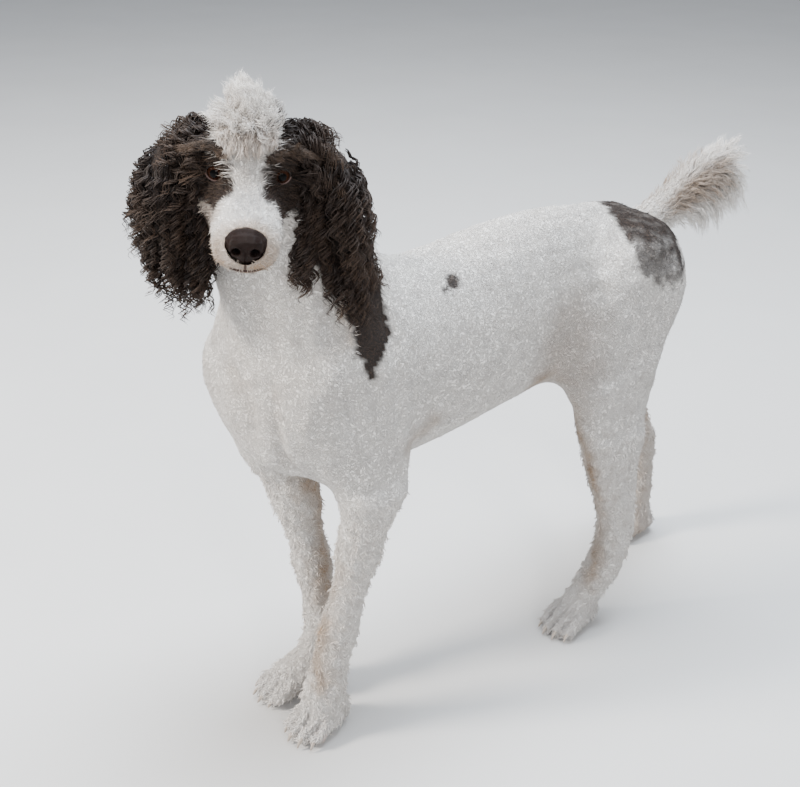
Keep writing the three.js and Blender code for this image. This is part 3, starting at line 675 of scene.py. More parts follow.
def refine(piece, chosen):
    # The faces whose middles are chosen get each edge cut in two
    work = bmesh.new()
    work.from_mesh(piece.data)
    work.faces.ensure_lookup_table()
    middles = np.array([face.calc_center_median() for face in work.faces])
    edges = {edge for face, wanted in zip(work.faces, chosen(middles)) if wanted for edge in face.edges}
    bmesh.ops.subdivide_edges(work, edges=list(edges), cuts=1, use_grid_fill=True)
    bmesh.ops.triangulate(work, faces=[face for face in work.faces if len(face.verts) > 4])
    reworked(piece, work)


def nearFace(middles):
    _, y, z = toHead(middles).T
    return (y < 22) & (z < 34) & (z > -78) & (headSide(toDog(middles)) > -5)


def nearFeatures(middles):
    h = toHead(middles)
    lip = (np.abs(h[:, 2] - mouthLevel(h)) < 9) & (h[:, 1] < -20)
    return nearFace(middles) & (lip | nearEyes(h, 2.3))


def nearToes(middles):
    return toDog(middles)[:, 2] < skinSettings["toeHeight"]


def makeSkin():
    s = skinSettings
    balls = [
        ballMesh(fromDog(place), radius * mm)
        for start, thick, end, thin in s["fillers"]
        for place, radius in zip(np.linspace(start, end, 7), np.linspace(thick, thin, 7))]
    piece = evenCopy("skin", fleshNodes, s["voxel"], coatLook("coatedSkin", True), balls)
    for ball in balls:
        bpy.data.meshes.remove(ball)
    points = pointsOf(piece.data)
    q = toDog(points)
    amount = mixed(1.0, 0.55, headShare(q) * ramp(60 - toHead(points)[:, 1], 0, 40))
    amount = amount * mixed(1.0, 0.35, ramp(64 - q[:, 2], 0, 30))
    points = smoothed(points, piece.data, amount, s["rounds"])
    for place, reach, rounds in s["joints"]:
        near = ramp(1.6 - norm((q - place) / reach), 0, 0.8)
        points = smoothed(points, piece.data, near, rounds, (0.6, -0.1))
    points = points + normalsOf(piece.data) * (s["rough"] * legness(q) * ripple(q, 15, 31) * mm)[:, None]
    setPoints(piece.data, points)
    depth = coatDepth(points) + foldDepth(toDog(points))
    points = points - normalsOf(piece.data) * (depth * mm)[:, None]
    setPoints(piece.data, smoothed(points, piece.data, amount, 3))
    for chosen in (nearFace, nearFeatures, nearToes):
        refine(piece, chosen)
    points = carveFace(pointsOf(piece.data))
    setPoints(piece.data, points)
    points = points - normalsOf(piece.data) * (s["groove"] * toeGrooves(toDog(points)) * mm)[:, None]
    setPoints(piece.data, points)
    none = np.zeros(len(points))
    addMarks(piece, markings(points) | {"along": none, "tone": none})
    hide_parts(*fleshNodes)
    return piece


skin = makeSkin()
print("skin", sum(len(face.vertices) - 2 for face in skin.data.polygons), "triangles")
hair = coatLook("coatHair", False)
strandSides = 3
strandThin = 0.6  # a strand's thickness as a share of its width


# Strands: tapered tubes along paths, each path with a point for every ring and one for its tip
def strandPiece(name, paths, widths, tone, normals, marks=None):
    count, stops, _ = paths.shape
    rings = stops - 1
    sides = strandSides
    ways = unit(np.concatenate([paths[:, 1:2] - paths[:, :1], paths[:, 2:] - paths[:, :-2]], axis=1))
    beside = np.random.default_rng(len(name)).normal(size=(count, 3))
    angles = np.arange(sides) * 2 * np.pi / sides
    each = rings * sides + 1
    points = np.empty((count, each, 3))
    for ring in range(rings):
        beside = flat(beside, ways[:, ring])
        over = np.cross(ways[:, ring], beside)
        for side, angle in enumerate(angles):
            offset = beside * math.cos(angle) + over * (math.sin(angle) * strandThin)
            points[:, ring * sides + side] = paths[:, ring] + offset * widths[:, ring, None]
    points[:, -1] = paths[:, -1]

    faces = [(0, 2, 1)]
    for ring in range(rings):
        for side in range(sides):
            a = ring * sides + side
            b = ring * sides + (side + 1) % sides
            last = ring == rings - 1
            faces += [(a, b, each - 1)] if last else [(a, b, b + sides), (a, b + sides, a + sides)]
    triangles = (np.array(faces)[None] + (np.arange(count) * each)[:, None, None]).reshape(-1, 3)

    piece = meshPiece(name, points.reshape(-1, 3), triangles, hair)
    along = np.append(np.repeat(np.arange(rings) / rings, sides), 1.0)
    found = (marks or markings(paths[:, 0])) | {"tone": tone}
    found = {key: np.repeat(values, each) for key, values in found.items()}
    addMarks(piece, found | {"along": np.tile(along, count)})
    turn = np.append(np.tile(angles, rings), 0.0)
    patch = columns(0.0014 * np.cos(turn) * (1 - 0.5 * along), 0.003 * along - 0.0015)
    spread = (unwrap(paths[:, 0], normals)[:, None] + patch[None]).reshape(-1, 2)
    layer = piece.data.uv_layers.new(name="OFBake")
    layer.uv.foreach_set("vector", spread[triangles.ravel()].astype(np.float32).ravel())
    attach(piece, "root")
    print(name, count, "strands", len(triangles), "triangles")
    return piece


def unwrap(points, normals):
    # Twelve charts, by which way the skin faces on the left and right parts, each on its own tile
    axis = np.abs(normals).argmax(axis=1)
    chart = axis * 2 + (normals[np.arange(len(points)), axis] > 0) + 6 * (toDog(points)[:, 0] > 18)
    uv = np.zeros((len(points), 2))
    for index in np.unique(chart):
        here = chart == index
        shown = points[here][:, [i for i in range(3) if i != index % 6 // 2]]
        low = shown.min(0)
        size = np.maximum(shown.max(0) - low, 1e-4)
        tile = np.array((index % 4 / 4, index // 4 / 3))
        uv[here] = tile + (0.02 + 0.96 * (shown - low) / size) * (1 / 4, 1 / 3)
    return np.clip(uv, 0.004, 0.996)


triesPerCell = 5
cellShare = 1.12  # a cell's side for the spacing of the tufts
cellRow = 4001  # more than the cells in a row, so that each cell has its own number


# Roots for the short coat: many random points on a piece's faces, of which each cell keeps one
def scatter(piece, spacing, wanted, seed):
    points = pointsOf(piece.data)
    normals = normalsOf(piece.data)
    faces = facesOf(piece.data)
    faces = faces[wanted(points[faces].mean(1))]
    corners = points[faces]
    areas = norm(np.cross(corners[:, 1] - corners[:, 0], corners[:, 2] - corners[:, 0])) / 2
    draw = np.random.default_rng(seed)
    count = int(areas.sum() / (spacing * mm) ** 2 * triesPerCell)
    chosen = draw.choice(len(faces), count, p=areas / areas.sum())
    a, b = draw.random((2, count))
    swap = a + b > 1
    a[swap], b[swap] = 1 - a[swap], 1 - b[swap]
    weights = columns(1 - a - b, a, b)[:, :, None]
    roots = (corners[chosen] * weights).sum(1)
    outwards = unit((normals[faces[chosen]] * weights).sum(1))
    x, y, z = np.floor(roots / (spacing * cellShare * mm) + draw.random(3)).astype(np.int64).T
    codes = (x * cellRow + y) * cellRow + z
    _, first = np.unique(codes, return_index=True)
    return roots[first], outwards[first]


# Which way the short coat lies: back from the nose, down the neck and sides, down the legs
def coatLie(points, normals):
    q = toDog(points)
    h = toHead(points)
    onHead = headShare(q, 20)[:, None]
    paw = ramp(60 - q[:, 2], 0, 25)[:, None]
    trunk = columns(0, 1.0, -0.55 - 0.5 * ramp(-q[:, 1], 60, 240))
    trunk = trunk + 0.25 * swirl(q, 80, 11) + 0.45 * swirl(q, 17, 41)
    down = swirl(q, 15, 44) + (0, 0.12, -0.85)
    sideways = np.sign(h[:, 0]) * ramp(np.abs(h[:, 0]), 0, 26)
    backwards = columns(0.45 * sideways, 1.0, -0.45 * np.abs(sideways) - 0.1)
    forehead = (ramp(h[:, 2], 10, 34) * ramp(h[:, 1], -34, -6))[:, None]
    backwards = mixed(backwards, columns(0.5 * sideways, -0.35, 0.3), forehead)
    head = (backwards + 0.3 * swirl(h, 20, 16)) @ headAxes.T
    way = mixed(trunk, down, legness(q)[:, None])
    way = mixed(way, 0.7 * swirl(q, 13, 47) + (0, -0.75, -0.5), paw * (1 - onHead))
    return flat(mixed(way, head, onHead), normals)


# Settings of the short coat by place: length, half width, lift, curl and its turns
shortCoat = {
    "trunk": {"length": 6.6, "width": 0.55, "lift": 0.25, "curl": 1.0, "turns": 0.8},
    "neck": {"length": 7.6, "width": 0.55, "lift": 0.27, "curl": 1.3, "turns": 0.9},
    "leg": {"length": 6.0, "width": 0.8, "lift": 0.75, "curl": 2.1, "turns": 0.9},
    "paw": {"length": 6.6, "width": 0.85, "lift": 0.65, "curl": 2.0, "turns": 0.9},
    "head": {"length": 9.5, "width": 0.62, "lift": 0.6, "curl": 1.5, "turns": 0.8},
    "muzzle": {"length": 5.6, "width": 0.5, "lift": 0.5, "curl": 0.7, "turns": 0.6},
}
tuftDepth = 1.2  # how deep a tuft starts in the skin, in mm
soleHeight = 3  # no tufts below this
floorGap = 1.6  # how far the tufts stay off the floor, in mm


def coatValues(points):
    _, y, z = toDog(points).T
    hx, hy, _ = toHead(points).T
    onHead = headShare(toDog(points))
    close = np.maximum(ramp(-hy, 8, 34), ramp(20 - np.abs(hx), 0, 10) * ramp(-hy, 0, 10))
    shares = {
        "neck": ramp(-y, 190, 250) * ramp(z, 380, 470),
        "leg": legness(toDog(points)),
        "paw": ramp(66 - z, 0, 30),
        "head": onHead,
        "muzzle": onHead * close,
    }
    values = {}
    for key, value in shortCoat["trunk"].items():
        for place, share in shares.items():
            value = mixed(value, shortCoat[place][key], share)
        values[key] = value
    return values


def tuftPaths(roots, normals, lies, length, lift, curl, turns, rings, draw):
    s = (np.arange(rings + 1) / rings)[None, :, None]
    start = unit(lies * np.cos(lift)[:, None] + normals * np.sin(lift)[:, None])
    across = np.cross(start, normals)
    over = np.cross(across, start)
    bend = (lies * 0.35 - normals * 0.3)[:, None]
    straight = start[:, None] * s + bend * s ** 2 * np.sin(lift)[:, None, None]
    phase = draw.uniform(0, 2 * np.pi, len(roots))[:, None, None] + 2 * np.pi * turns[:, None, None] * s
    coil = np.cos(phase) * across[:, None] + np.sin(phase) * over[:, None] * 0.7
    reach = straight * length[:, None, None] + coil * curl[:, None, None] * s ** 0.8
    return roots[:, None] + (reach - normals[:, None] * tuftDepth) * mm


def hairless(points):
    # The eyes, the nose leather, the lips with the groove above them, and the soles
    h = toHead(points)
    x, y, z = h.T
    nose = norm((h - (0, -96, -31)) / (19.5, 15, 17)) < 0.99
    rise = z - mouthLevel(h)
    lips = (rise > -2.6) & (rise < 4.2) & (y < -26) & (headSide(toDog(points)) > 0)
    lips &= (np.abs(x) < 16) | (np.abs(rise) < 2)
    lips |= (np.abs(x) < 2.4) & (rise > 0) & (z < -38) & (y < -86)
    return nearEyes(h, 1.3) | nose | lips | (toDog(points)[:, 2] < soleHeight)


def shortCoatPiece(label, spacing, rings, most, seed):
    roots, normals = scatter(skin, spacing, lambda points: partOf(points) == label, seed)
    draw = np.random.default_rng(seed + 1)
    chosen = draw.permutation(np.flatnonzero(~hairless(roots)))[:most]
    roots = roots[chosen]
    normals = normals[chosen]
    count = len(roots)
    tone = draw.random(count) * mixed(0.35, 1.0, headShare(toDog(roots)))
    size = 1 + 0.25 * draw.normal(size=count).clip(-2, 2)
    lies = flat(coatLie(roots, normals) + 0.28 * draw.normal(size=(count, 3)), normals)
    values = coatValues(roots)
    clump = ripple(toDog(roots), 12, 51)
    length = values["length"] * size * (1 + 0.18 * clump)
    lift = values["lift"] * (0.8 + 0.4 * tone + 0.3 * clump)
    paths = tuftPaths(roots, normals, lies, length, lift, values["curl"], values["turns"], rings, draw)
    paths[:, :, 2] += np.maximum(floorGap - toDog(paths)[:, :, 2], 0) * mm
    widths = (values["width"] * size)[:, None] * np.linspace(1.0, 0.62, rings) * mm
    piece = strandPiece("coat_" + label, paths, widths, tone, normals)


def partOf(points):
    q = toDog(points)
    q[:, 2] += 12 * ripple(q, 26, 77)
    hind = (q - (0, 100, 358)) @ (0, 0.31, -0.95) > 0
    part = np.where(q[:, 1] > -10, "back", "front")
    part = np.where((q[:, 2] < 335) & (q[:, 1] < -90), "forelegs", part)
    part = np.where(hind & (q[:, 1] > 60), "hindlegs", part)
    return np.where(headSide(q) > 0, "head", part)


coatPieces = {  # spacing in mm, rings of a tuft, and the most tufts
    "front": (3.5, 2, 18200),
    "back": (3.2, 2, 17600),
    "forelegs": (3.1, 3, 10900),
    "hindlegs": (3.3, 3, 11300),
    "head": (1.75, 2, 17400),
}
for number, (label, (spacing, rings, most)) in enumerate(coatPieces.items()):
    shortCoatPiece(label, spacing, rings, most, 20 + 2 * number)


# Long locks: strands that wave together round a guide which falls from its root
skinTree = BVHTree.FromPolygons(pointsOf(skin.data).tolist(), facesOf(skin.data).tolist())


def depthUnder(points):
    # How deep each point lies under the skin, less than nothing outside it, and the way out
    deep = np.empty(len(points))
    out = np.empty((len(points), 3))
    for index, point in enumerate(points):
        place, normal, _, _ = skinTree.find_nearest(point)
        deep[index] = (place - Vector(point)).dot(normal)
        out[index] = normal
    return deep, out


def guidePaths(roots, ways, length, fall, stops, clear):
    # With a clearance in mm, a guide that meets the skin slides down over it
    heading = unit(ways)
    place = roots
    paths = [place]
    for stop in range(stops - 1):
        heading = unit(heading + (fall / (stops - 1))[:, None] * (0, 0, -1))
        place = place + heading * (length / (stops - 1))[:, None] * mm
        if clear and stop > 1:
            deep, out = depthUnder(place)
            push = np.maximum(deep + clear * mm, 0)[:, None]
            place = place + out * np.minimum(push, 6 * mm)
            heading = np.where(push > 0, unit(mixed(heading, flat(heading, out), 0.8)), heading)
        paths.append(place)
    return np.stack(paths, axis=1)


def lockStrands(guides, settings, length, draw):
    # Each guide carries some strands, which coil in step and draw together at the tip
    each = settings["each"]
    count, stops, _ = guides.shape
    total = count * each

    def shared(values):
        return np.repeat(values, each)[:, None, None]

    paths = np.repeat(guides, each, axis=0)
    ways = unit(np.gradient(paths, axis=1))
    reference = flat(np.repeat(draw.normal(size=(count, 3)), each, axis=0)[:, None], ways)
    other = np.cross(ways, reference)
    s = np.linspace(0, 1, stops)[None, :, None]
    angle = draw.uniform(0, 2 * np.pi, total)[:, None, None]
    spread = settings["radius"] * np.sqrt(draw.random(total))[:, None, None] * (1 - 0.62 * s)
    phase = shared(draw.uniform(0, 2 * np.pi, count)) + 0.35 * draw.normal(size=total)[:, None, None]
    turns = shared(length / settings["pitch"] * draw.uniform(0.8, 1.25, count))
    swing = settings["curl"] * np.minimum(s * 3, 1) * shared(draw.uniform(0.6, 1.25, count))
    coil = phase + 2 * np.pi * turns * s
    offset = reference * (spread * np.cos(angle) + swing * np.cos(coil))
    offset = offset + other * (spread * np.sin(angle) + swing * np.sin(coil))
    loose = np.cumsum(draw.normal(size=paths.shape), axis=1) * settings["frizz"] * s
    paths = paths[:, :1] + (paths - paths[:, :1]) * draw.uniform(0.82, 1.0, total)[:, None, None]
    return paths + (offset + loose) * mm


# A piece of long locks: guides that fall, each with its own strands
def lockPiece(name, s, roots, ways, length, fall, seed, marks, outwards, clear=0.0):
    draw = np.random.default_rng(seed)
    guides = guidePaths(roots, ways, length, fall, s["rings"] + 1, clear)
    paths = lockStrands(guides, s, length, draw)
    count = len(paths)
    paths[:, :, 2] = np.maximum(paths[:, :, 2], 1.5 * mm)
    if clear:
        late = paths[:, 2:].reshape(-1, 3)
        deep, out = depthUnder(late)
        paths[:, 2:] = (late + out * np.maximum(deep + 2 * mm, 0)[:, None]).reshape(count, -1, 3)
    tone = np.repeat(draw.random(len(guides)), s["each"]) * 0.7 + 0.3 * draw.random(count)
    taper = np.interp(np.linspace(0, 1, s["rings"]), [0, 0.1, 0.7, 1], [0.75, 1.0, 0.85, 0.4])
    widths = s["width"] * taper[None] * mm * draw.uniform(0.75, 1.3, count)[:, None]
    marks = {key: np.repeat(values, s["each"]) for key, values in marks.items()}
    return strandPiece(name, paths, widths, tone * s["tone"], np.repeat(outwards, s["each"], axis=0), marks)


def allDark(count, dark=1.0, tan=0.0):
    none = np.zeros(count)
    return {"dark": none + dark, "tan": none + tan, "grey": none, "bare": none, "pink": none}


# Ears: a leather flap on each side under ringlets, as wide and long as the solids' locks
earSettings = {
    "upper": ((79, 46, -30), (20, 36, 52)),
    "lower": ((77, 43, -84), (18, 29, 36)),
    "rootDepth": 5,  # how deep each lock starts, in mm
    "deepest": 14,  # locks that would start deeper in the skin are left out
    "clear": 5.0,  # how far the locks stay off the skin, in mm
    "flapLocks": 180,
    "rootLocks": 72,
    "cheekLocks": 76,
    "each": 6,
    "rings": 16,
    "width": 0.9,
    "radius": 3.2,
    "curl": 4.8,
    "pitch": 18.5,
    "frizz": 0.3,
    "tone": 0.55,
    "left": {"lean": 11, "spread": 1.34, "shorter": 0.0},  # shorter on its outer side, low down
    "right": {"lean": 5, "spread": 1.15, "shorter": 0.36},
}


def earForm(local):
    forms = (earSettings["upper"], earSettings["lower"])
    return np.minimum(*(norm((local - centre) / reach) for centre, reach in forms))


def makeEar(side, sign, seed):
    s = earSettings
    own = s[side]
    draw = np.random.default_rng(seed)
    count = s["flapLocks"]
    down = (np.arange(count) + draw.random(count)) / count
    turn = draw.uniform(-2.1, 2.1, count)
    aim = columns(np.cos(turn), np.sin(turn), 0)
    roots = columns(66, 45, 24 - 134 * down ** 0.85)
    for _ in range(90):
        inside = earForm(roots) < 1
        roots[inside] += aim[inside] * 0.6
    roots[:, 0] += own["lean"]
    low = ramp(down, 0.4, 0.95)
    way = aim * (0.62 - 0.3 * low)[:, None] + columns(0, 0, -0.5 - 0.5 * down)
    length = (48 + 6 * draw.normal(size=count)) * own["spread"] * (1 - own["shorter"] * low * aim[:, 0])
    groups = [(roots, way, aim, length, np.full(count, 1.5))]

    # Locks of the ear's root, which spring from the side of the skull and fall over the flap
    count = s["rootLocks"]
    lean = np.radians(draw.uniform(46, 108, count))
    depth = draw.uniform(6, 84, count)
    reach = np.sqrt(1 - ((depth - 46) / 64) ** 2)
    aim = columns(np.sin(lean), 0.012 * (depth - 46), np.cos(lean))
    roots = columns(51 * reach * np.sin(lean), depth, 2 + 47 * reach * np.cos(lean))
    length = (32 + 26 * np.sin(lean)) * (0.6 + 0.4 * own["spread"])
    groups.append((roots, aim + (0.55, 0, -0.12), aim, length, draw.uniform(1.0, 1.7, count)))

    # Locks of its front edge, which hang over the cheek and beside the neck
    count = int(s["cheekLocks"] * own["spread"])
    spot = draw.random((count, 3))
    roots = spot * (16, 44, -86) + (45, 6, -20)
    way = 0.12 * draw.normal(size=(count, 3)) + (-0.05, -0.2, -1.0)
    length = draw.uniform(46, 60, count) * (0.9 + 0.28 * (sign < 0))
    groups.append((roots, way, 0 * spot + (0.2, -0.9, 0.1), length, np.full(count, 0.8)))

    roots, way, aim, length, fall = (np.concatenate(parts) for parts in zip(*groups))
    mirror = (sign, 1, 1)
    outwards = (unit(aim) * mirror) @ headAxes.T
    start = fromHead(roots * mirror) - outwards * s["rootDepth"] * mm
    free = depthUnder(start)[0] < s["deepest"] * mm
    piece = lockPiece(
        f"ear_{side}_locks", s, start[free], ((way * mirror) @ headAxes.T)[free],
        length[free] + s["rootDepth"], fall[free], seed, allDark(free.sum()), outwards[free], s["clear"])
    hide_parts("ear_" + side)
    flapPiece(side, sign, own["lean"])


def flapPiece(side, sign, lean):
    work = bmesh.new()
    for centre, reach in (earSettings["upper"], earSettings["lower"]):
        made = bmesh.ops.create_icosphere(work, subdivisions=4, radius=1.0)
        for vertex in made["verts"]:
            local = np.array(vertex.co) * reach * 0.8 + centre + (lean, 0, -4)
            vertex.co = fromHead(local * (sign, 1, 1))
    if sign < 0:
        bmesh.ops.reverse_faces(work, faces=work.faces[:])
    piece = placed("flap_" + side, meshFrom(work, "flap_" + side), skin.data.materials[0])
    count = len(piece.data.vertices)
    addMarks(piece, allDark(count) | {"along": np.zeros(count), "tone": np.zeros(count)})
    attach(piece, "root")


makeEar("left", 1, 61)
makeEar("right", -1, 62)


# Topknot: fluffy strands that stand up from the crown
knotSettings = {
    "centre": (-2, 44, 34),
    "reach": (30, 49, 26),
    "rootDepth": 4,
    "locks": 272,
    "each": 12,
    "rings": 6,
    "width": 0.52,
    "radius": 6.5,
    "curl": 2.2,
    "pitch": 17.0,
    "frizz": 0.5,
    "tone": 0.3,
}


def makeTopknot():
    s = knotSettings
    draw = np.random.default_rng(71)
    index = np.arange(s["locks"]) + 0.5
    out = np.sqrt(index / s["locks"])
    turn = index * goldenTurn
    spot = columns(out * np.cos(turn), out * np.sin(turn), np.sqrt(np.maximum(1 - 0.96 * out ** 2, 0)))
    x, y, z = spot.T
    roots = spot * s["reach"] + s["centre"]
    jitter = 0.14 * draw.normal(size=(s["locks"], 3))
    lean = 0.75 * out ** 2 - 0.12
    peak = norm(spot[:, :2] + (0.35, 0.1)) / 1.4
    left = ramp(-x, 0.05, 0.35)
    ring = left * ramp(out, 0.74, 0.88)
    aside = lean * x * (1 - 0.8 * left + 1.2 * ring) - 0.3 * (1 - out)
    behind = ramp(y, 0.4, 1.0)
    rise = (0.5 + 0.7 * z) * (1 - 0.35 * ring) * (1 - 0.4 * behind)
    way = columns(aside, (0.4 + 0.4 * behind) * y, rise) + jitter
    length = (13 + 19 * (1 - peak) ** 0.8) * (1 - 0.3 * ring) * (1 + 0.14 * draw.normal(size=s["locks"]))
    roots -= s["rootDepth"] * spot
    roots[:, 0] *= 1 - 0.3 * (left - ring)
    roots[:, 2] -= 0.2 * np.clip(roots[:, 1] - 20, 0, 80)
    hind = ramp(roots[:, 0] + 2 * draw.normal(size=len(roots)), 17, 23) * ramp(roots[:, 1], 18, 30)
    piece = lockPiece(
        "topknot_locks", s, fromHead(roots), way @ headAxes.T, length + s["rootDepth"], 0.5 * out, 72,
        allDark(len(roots), hind, 0.06), spot @ headAxes.T)
    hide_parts("topknot")


makeTopknot()


# Longer hair of the face: the fringe over the forehead and the shaggy brows
faceSettings = {
    "rootDepth": 3,
    "fringe": 86,
    "brow": 58,
    "each": 12,
    "rings": 6,
    "width": 0.42,
    "radius": 2.8,
    "curl": 1.3,
    "pitch": 16.0,
    "frizz": 0.5,
    "tone": 1.25,
}


def makeFaceLocks():
    s = faceSettings
    draw = np.random.default_rng(91)
    count = s["fringe"]
    across = draw.uniform(-1, 1, count)
    back = draw.random(count)
    roots = columns(28 * across - 3, -8 + 22 * back + 8 * across ** 2, 33 + 10 * back)
    way = columns(0.1 * across * (1 - back), -0.75, -0.18 + 0.5 * back)
    length = 24 + 9 * back - 13 * np.abs(across) ** 1.5 + 2 * draw.normal(size=count)
    tan = 0.3 + 0.6 * draw.random(count) * (1 - 0.6 * back)
    groups = [(roots, way, length, np.full(count, 0.9), np.zeros(count), tan)]
    for sign in (1, -1):
        count = s["brow"]
        t = draw.random(count)
        start = columns(19 + 33 * t, -7 + 26 * t ** 1.6, 19 + 8 * np.sin(np.pi * t) - 4 * t)
        start += 1.8 * draw.normal(size=(count, 3)) * (1, 1, 1.4)
        aim = columns(0.35 + 0.9 * t, -0.5 + 0.5 * t, 0.55 - 0.5 * t)
        length = 10 + 20 * t ** 1.3 + 1.5 * draw.normal(size=count)
        dark = 0.95 - 0.7 * (t < 0.12) * (sign < 0)
        groups.append((
            start * (sign, 1, 1), aim * (sign, 1, 1), length, np.full(count, 0.5), dark, np.ones(count)))
    roots, way, length, fall, dark, tan = (np.concatenate(parts) for parts in zip(*groups))
    way = unit(way + 0.12 * draw.normal(size=way.shape))
    ways = way @ headAxes.T
    roots = fromHead(roots - s["rootDepth"] * way)
    piece = lockPiece(
        "face_locks", s, roots, ways, length, fall, 92, allDark(len(way), dark, tan), unit(ways))


makeFaceLocks()


# Tail: a short-haired base and a plume round its line
tailSettings = {
    # Points of its line in the dog's frame, each with a radius
    "joints": ((0, 276, 534, 22), (0, 335, 561, 19), (0, 385, 588, 15), (0, 430, 604, 12)),
    "rootDepth": 3,
    "corePoints": 24,
    "coreSides": 16,
    "coreInside": 2,
    "locks": 330,
    "each": 10,
    "rings": 6,
    "width": 0.5,
    "radius": 6.5,
    "curl": 1.6,
    "pitch": 19.0,
    "frizz": 0.4,
    "tone": 0.6,
}


def tailLine(t):
    joints = np.array(tailSettings["joints"], float)
    return columns(*(np.interp(t, np.linspace(0, 1, len(joints)), values) for values in joints.T))


def makeTail():
    s = tailSettings
    draw = np.random.default_rng(81)
    index = np.arange(s["locks"]) + 0.5
    t = 0.02 + 0.98 * (index / s["locks"]) ** 0.75
    line = tailLine(t)
    way = unit(tailLine(t + 0.02)[:, :3] - tailLine(t - 0.02)[:, :3])
    turn = (index * goldenTurn)[:, None]
    across = (1.0, 0, 0)
    beside = np.cos(turn) * across - np.sin(turn) * unit(np.cross(way, across))
    roots = line[:, :3] + beside * (line[:, 3:] - s["rootDepth"])
    rise = beside[:, 2]
    full = ramp(t, 0.1, 0.6)
    length = 13 + (15 + 8 * t - 34 * np.minimum(rise - 0.1, 0)) * full
    length = length * (1 + 0.1 * draw.normal(size=len(t)))
    out = 0.45 + full * (0.45 + 0.35 * np.abs(beside[:, 0]) - 0.1 * rise)
    lean = beside * out[:, None] + way * (0.9 + 0.35 * rise)[:, None] + 0.12 * draw.normal(size=way.shape)
    brown = 0.95 * ramp(t, 0.06, 0.26) * ramp(0.9 - t, 0, 0.16) * ramp(0.62 - np.abs(rise - 0.3), 0, 0.3)
    piece = lockPiece(
        "tail_locks", s, fromDog(roots), lean, length + s["rootDepth"], full * (1.1 - 0.8 * rise), 82,
        allDark(len(t), 0.32 * brown, brown) | {"grey": 0.5 * brown}, beside)
    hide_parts("tail")

    line = tailLine(np.linspace(0, 1, s["corePoints"]))
    thick = (line[:, 3] - s["coreInside"]) * mm
    core = tubePiece("tail_core", fromDog(line[:, :3]), thick, s["coreSides"], skin.data.materials[0])
    none = np.zeros(len(core.data.vertices))
    addMarks(core, markings(pointsOf(core.data)) | {"dark": none, "along": none, "tone": none})


# Geometry Nodes: a closed tube along a line of points, as thick as its "reach" attribute says
def tubeTree():
    tree = bpy.data.node_groups.new("tubeAlongLine", "GeometryNodeTree")
    sockets = {}
    for label, kind in (("Line", "Geometry"), ("Sides", "Int"), ("Finish", "Material")):
        made = tree.interface.new_socket(label, in_out="INPUT", socket_type="NodeSocket" + kind)
        sockets[label] = made.identifier
    tree.interface.new_socket("Tube", in_out="OUTPUT", socket_type="NodeSocketGeometry")
    start = tree.nodes.new("NodeGroupInput")
    end = tree.nodes.new("NodeGroupOutput")
    curve, reach, ring, tube, real, finish = (tree.nodes.new("GeometryNode" + kind) for kind in (
        "MeshToCurve", "InputNamedAttribute", "CurvePrimitiveCircle", "CurveToMesh", "RealizeInstances",
        "SetMaterial"))
    reach.data_type = "FLOAT"
    reach.inputs["Name"].default_value = "reach"
    ring.inputs["Radius"].default_value = 1.0
    tube.inputs["Fill Caps"].default_value = True
    for source, output, target, place in (
            (start, "Line", curve, "Mesh"),
            (curve, "Curve", tube, "Curve"),
            (reach, "Attribute", tube, "Scale"),
            (start, "Sides", ring, "Resolution"),
            (ring, "Curve", tube, "Profile Curve"),
            (tube, "Mesh", real, "Geometry"),
            (real, "Geometry", finish, "Geometry"),
            (start, "Finish", finish, "Material"),
            (finish, "Geometry", end, "Tube")):
        tree.links.new(source.outputs[output], target.inputs[place])
    return tree, sockets


tubeNodes, tubeSockets = tubeTree()


def tubePiece(name, points, reach, sides, material, closed=False, marks=None):
    mesh = bpy.data.meshes.new(name)
    count = len(points)
    edges = [(index, (index + 1) % count) for index in range(count if closed else count - 1)]
    mesh.from_pydata([tuple(point) for point in points], edges, [])
    piece = placed(name, mesh)
    addMarks(piece, (marks or {}) | {"reach": np.broadcast_to(reach, count)})
    tube = piece.modifiers.new("tube", "NODES")
    tube.node_group = tubeNodes
    tube[tubeSockets["Sides"]] = sides
    tube[tubeSockets["Finish"]] = material
    applied(piece, tube)
    outwardFaces(piece)
    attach(piece, "root")
    return piece


def outwardFaces(piece):
    work = bmesh.new()
    work.from_mesh(piece.data)
    bmesh.ops.recalc_face_normals(work, faces=work.faces[:])
    reworked(piece, work)


makeTail()


# Eyes: a glossy ball with pupil, iris and white, behind its lids, and a thin rim on the lids
def eyeLook():
    look = Look("eyeBall")
    turn = look.mark("gaze")
    iris = look.blend(look.noise(900), rgb(0.010, 0.004, 0.002), rgb(0.045, 0.016, 0.008))
    colour = look.blend(look.stretch(turn, 0.34, 0.42), rgb(0.002, 0.002, 0.002), iris)
    colour = look.blend(look.stretch(turn, 0.66, 0.74), colour, rgb(0.006, 0.004, 0.003))
    colour = look.blend(look.stretch(turn, 0.82, 0.92), colour, rgb(0.20, 0.13, 0.11))
    return look.finish(colour, 0.04, 0.06)


def rimLook():
    look = Look("eyeRim")
    colour = look.blend(look.mark("lower"), rgb(0.012, 0.008, 0.006), rgb(0.10, 0.062, 0.053))
    return look.finish(colour, 0.45, 0.3, look.bump(look.noise(1500), 0.0003))


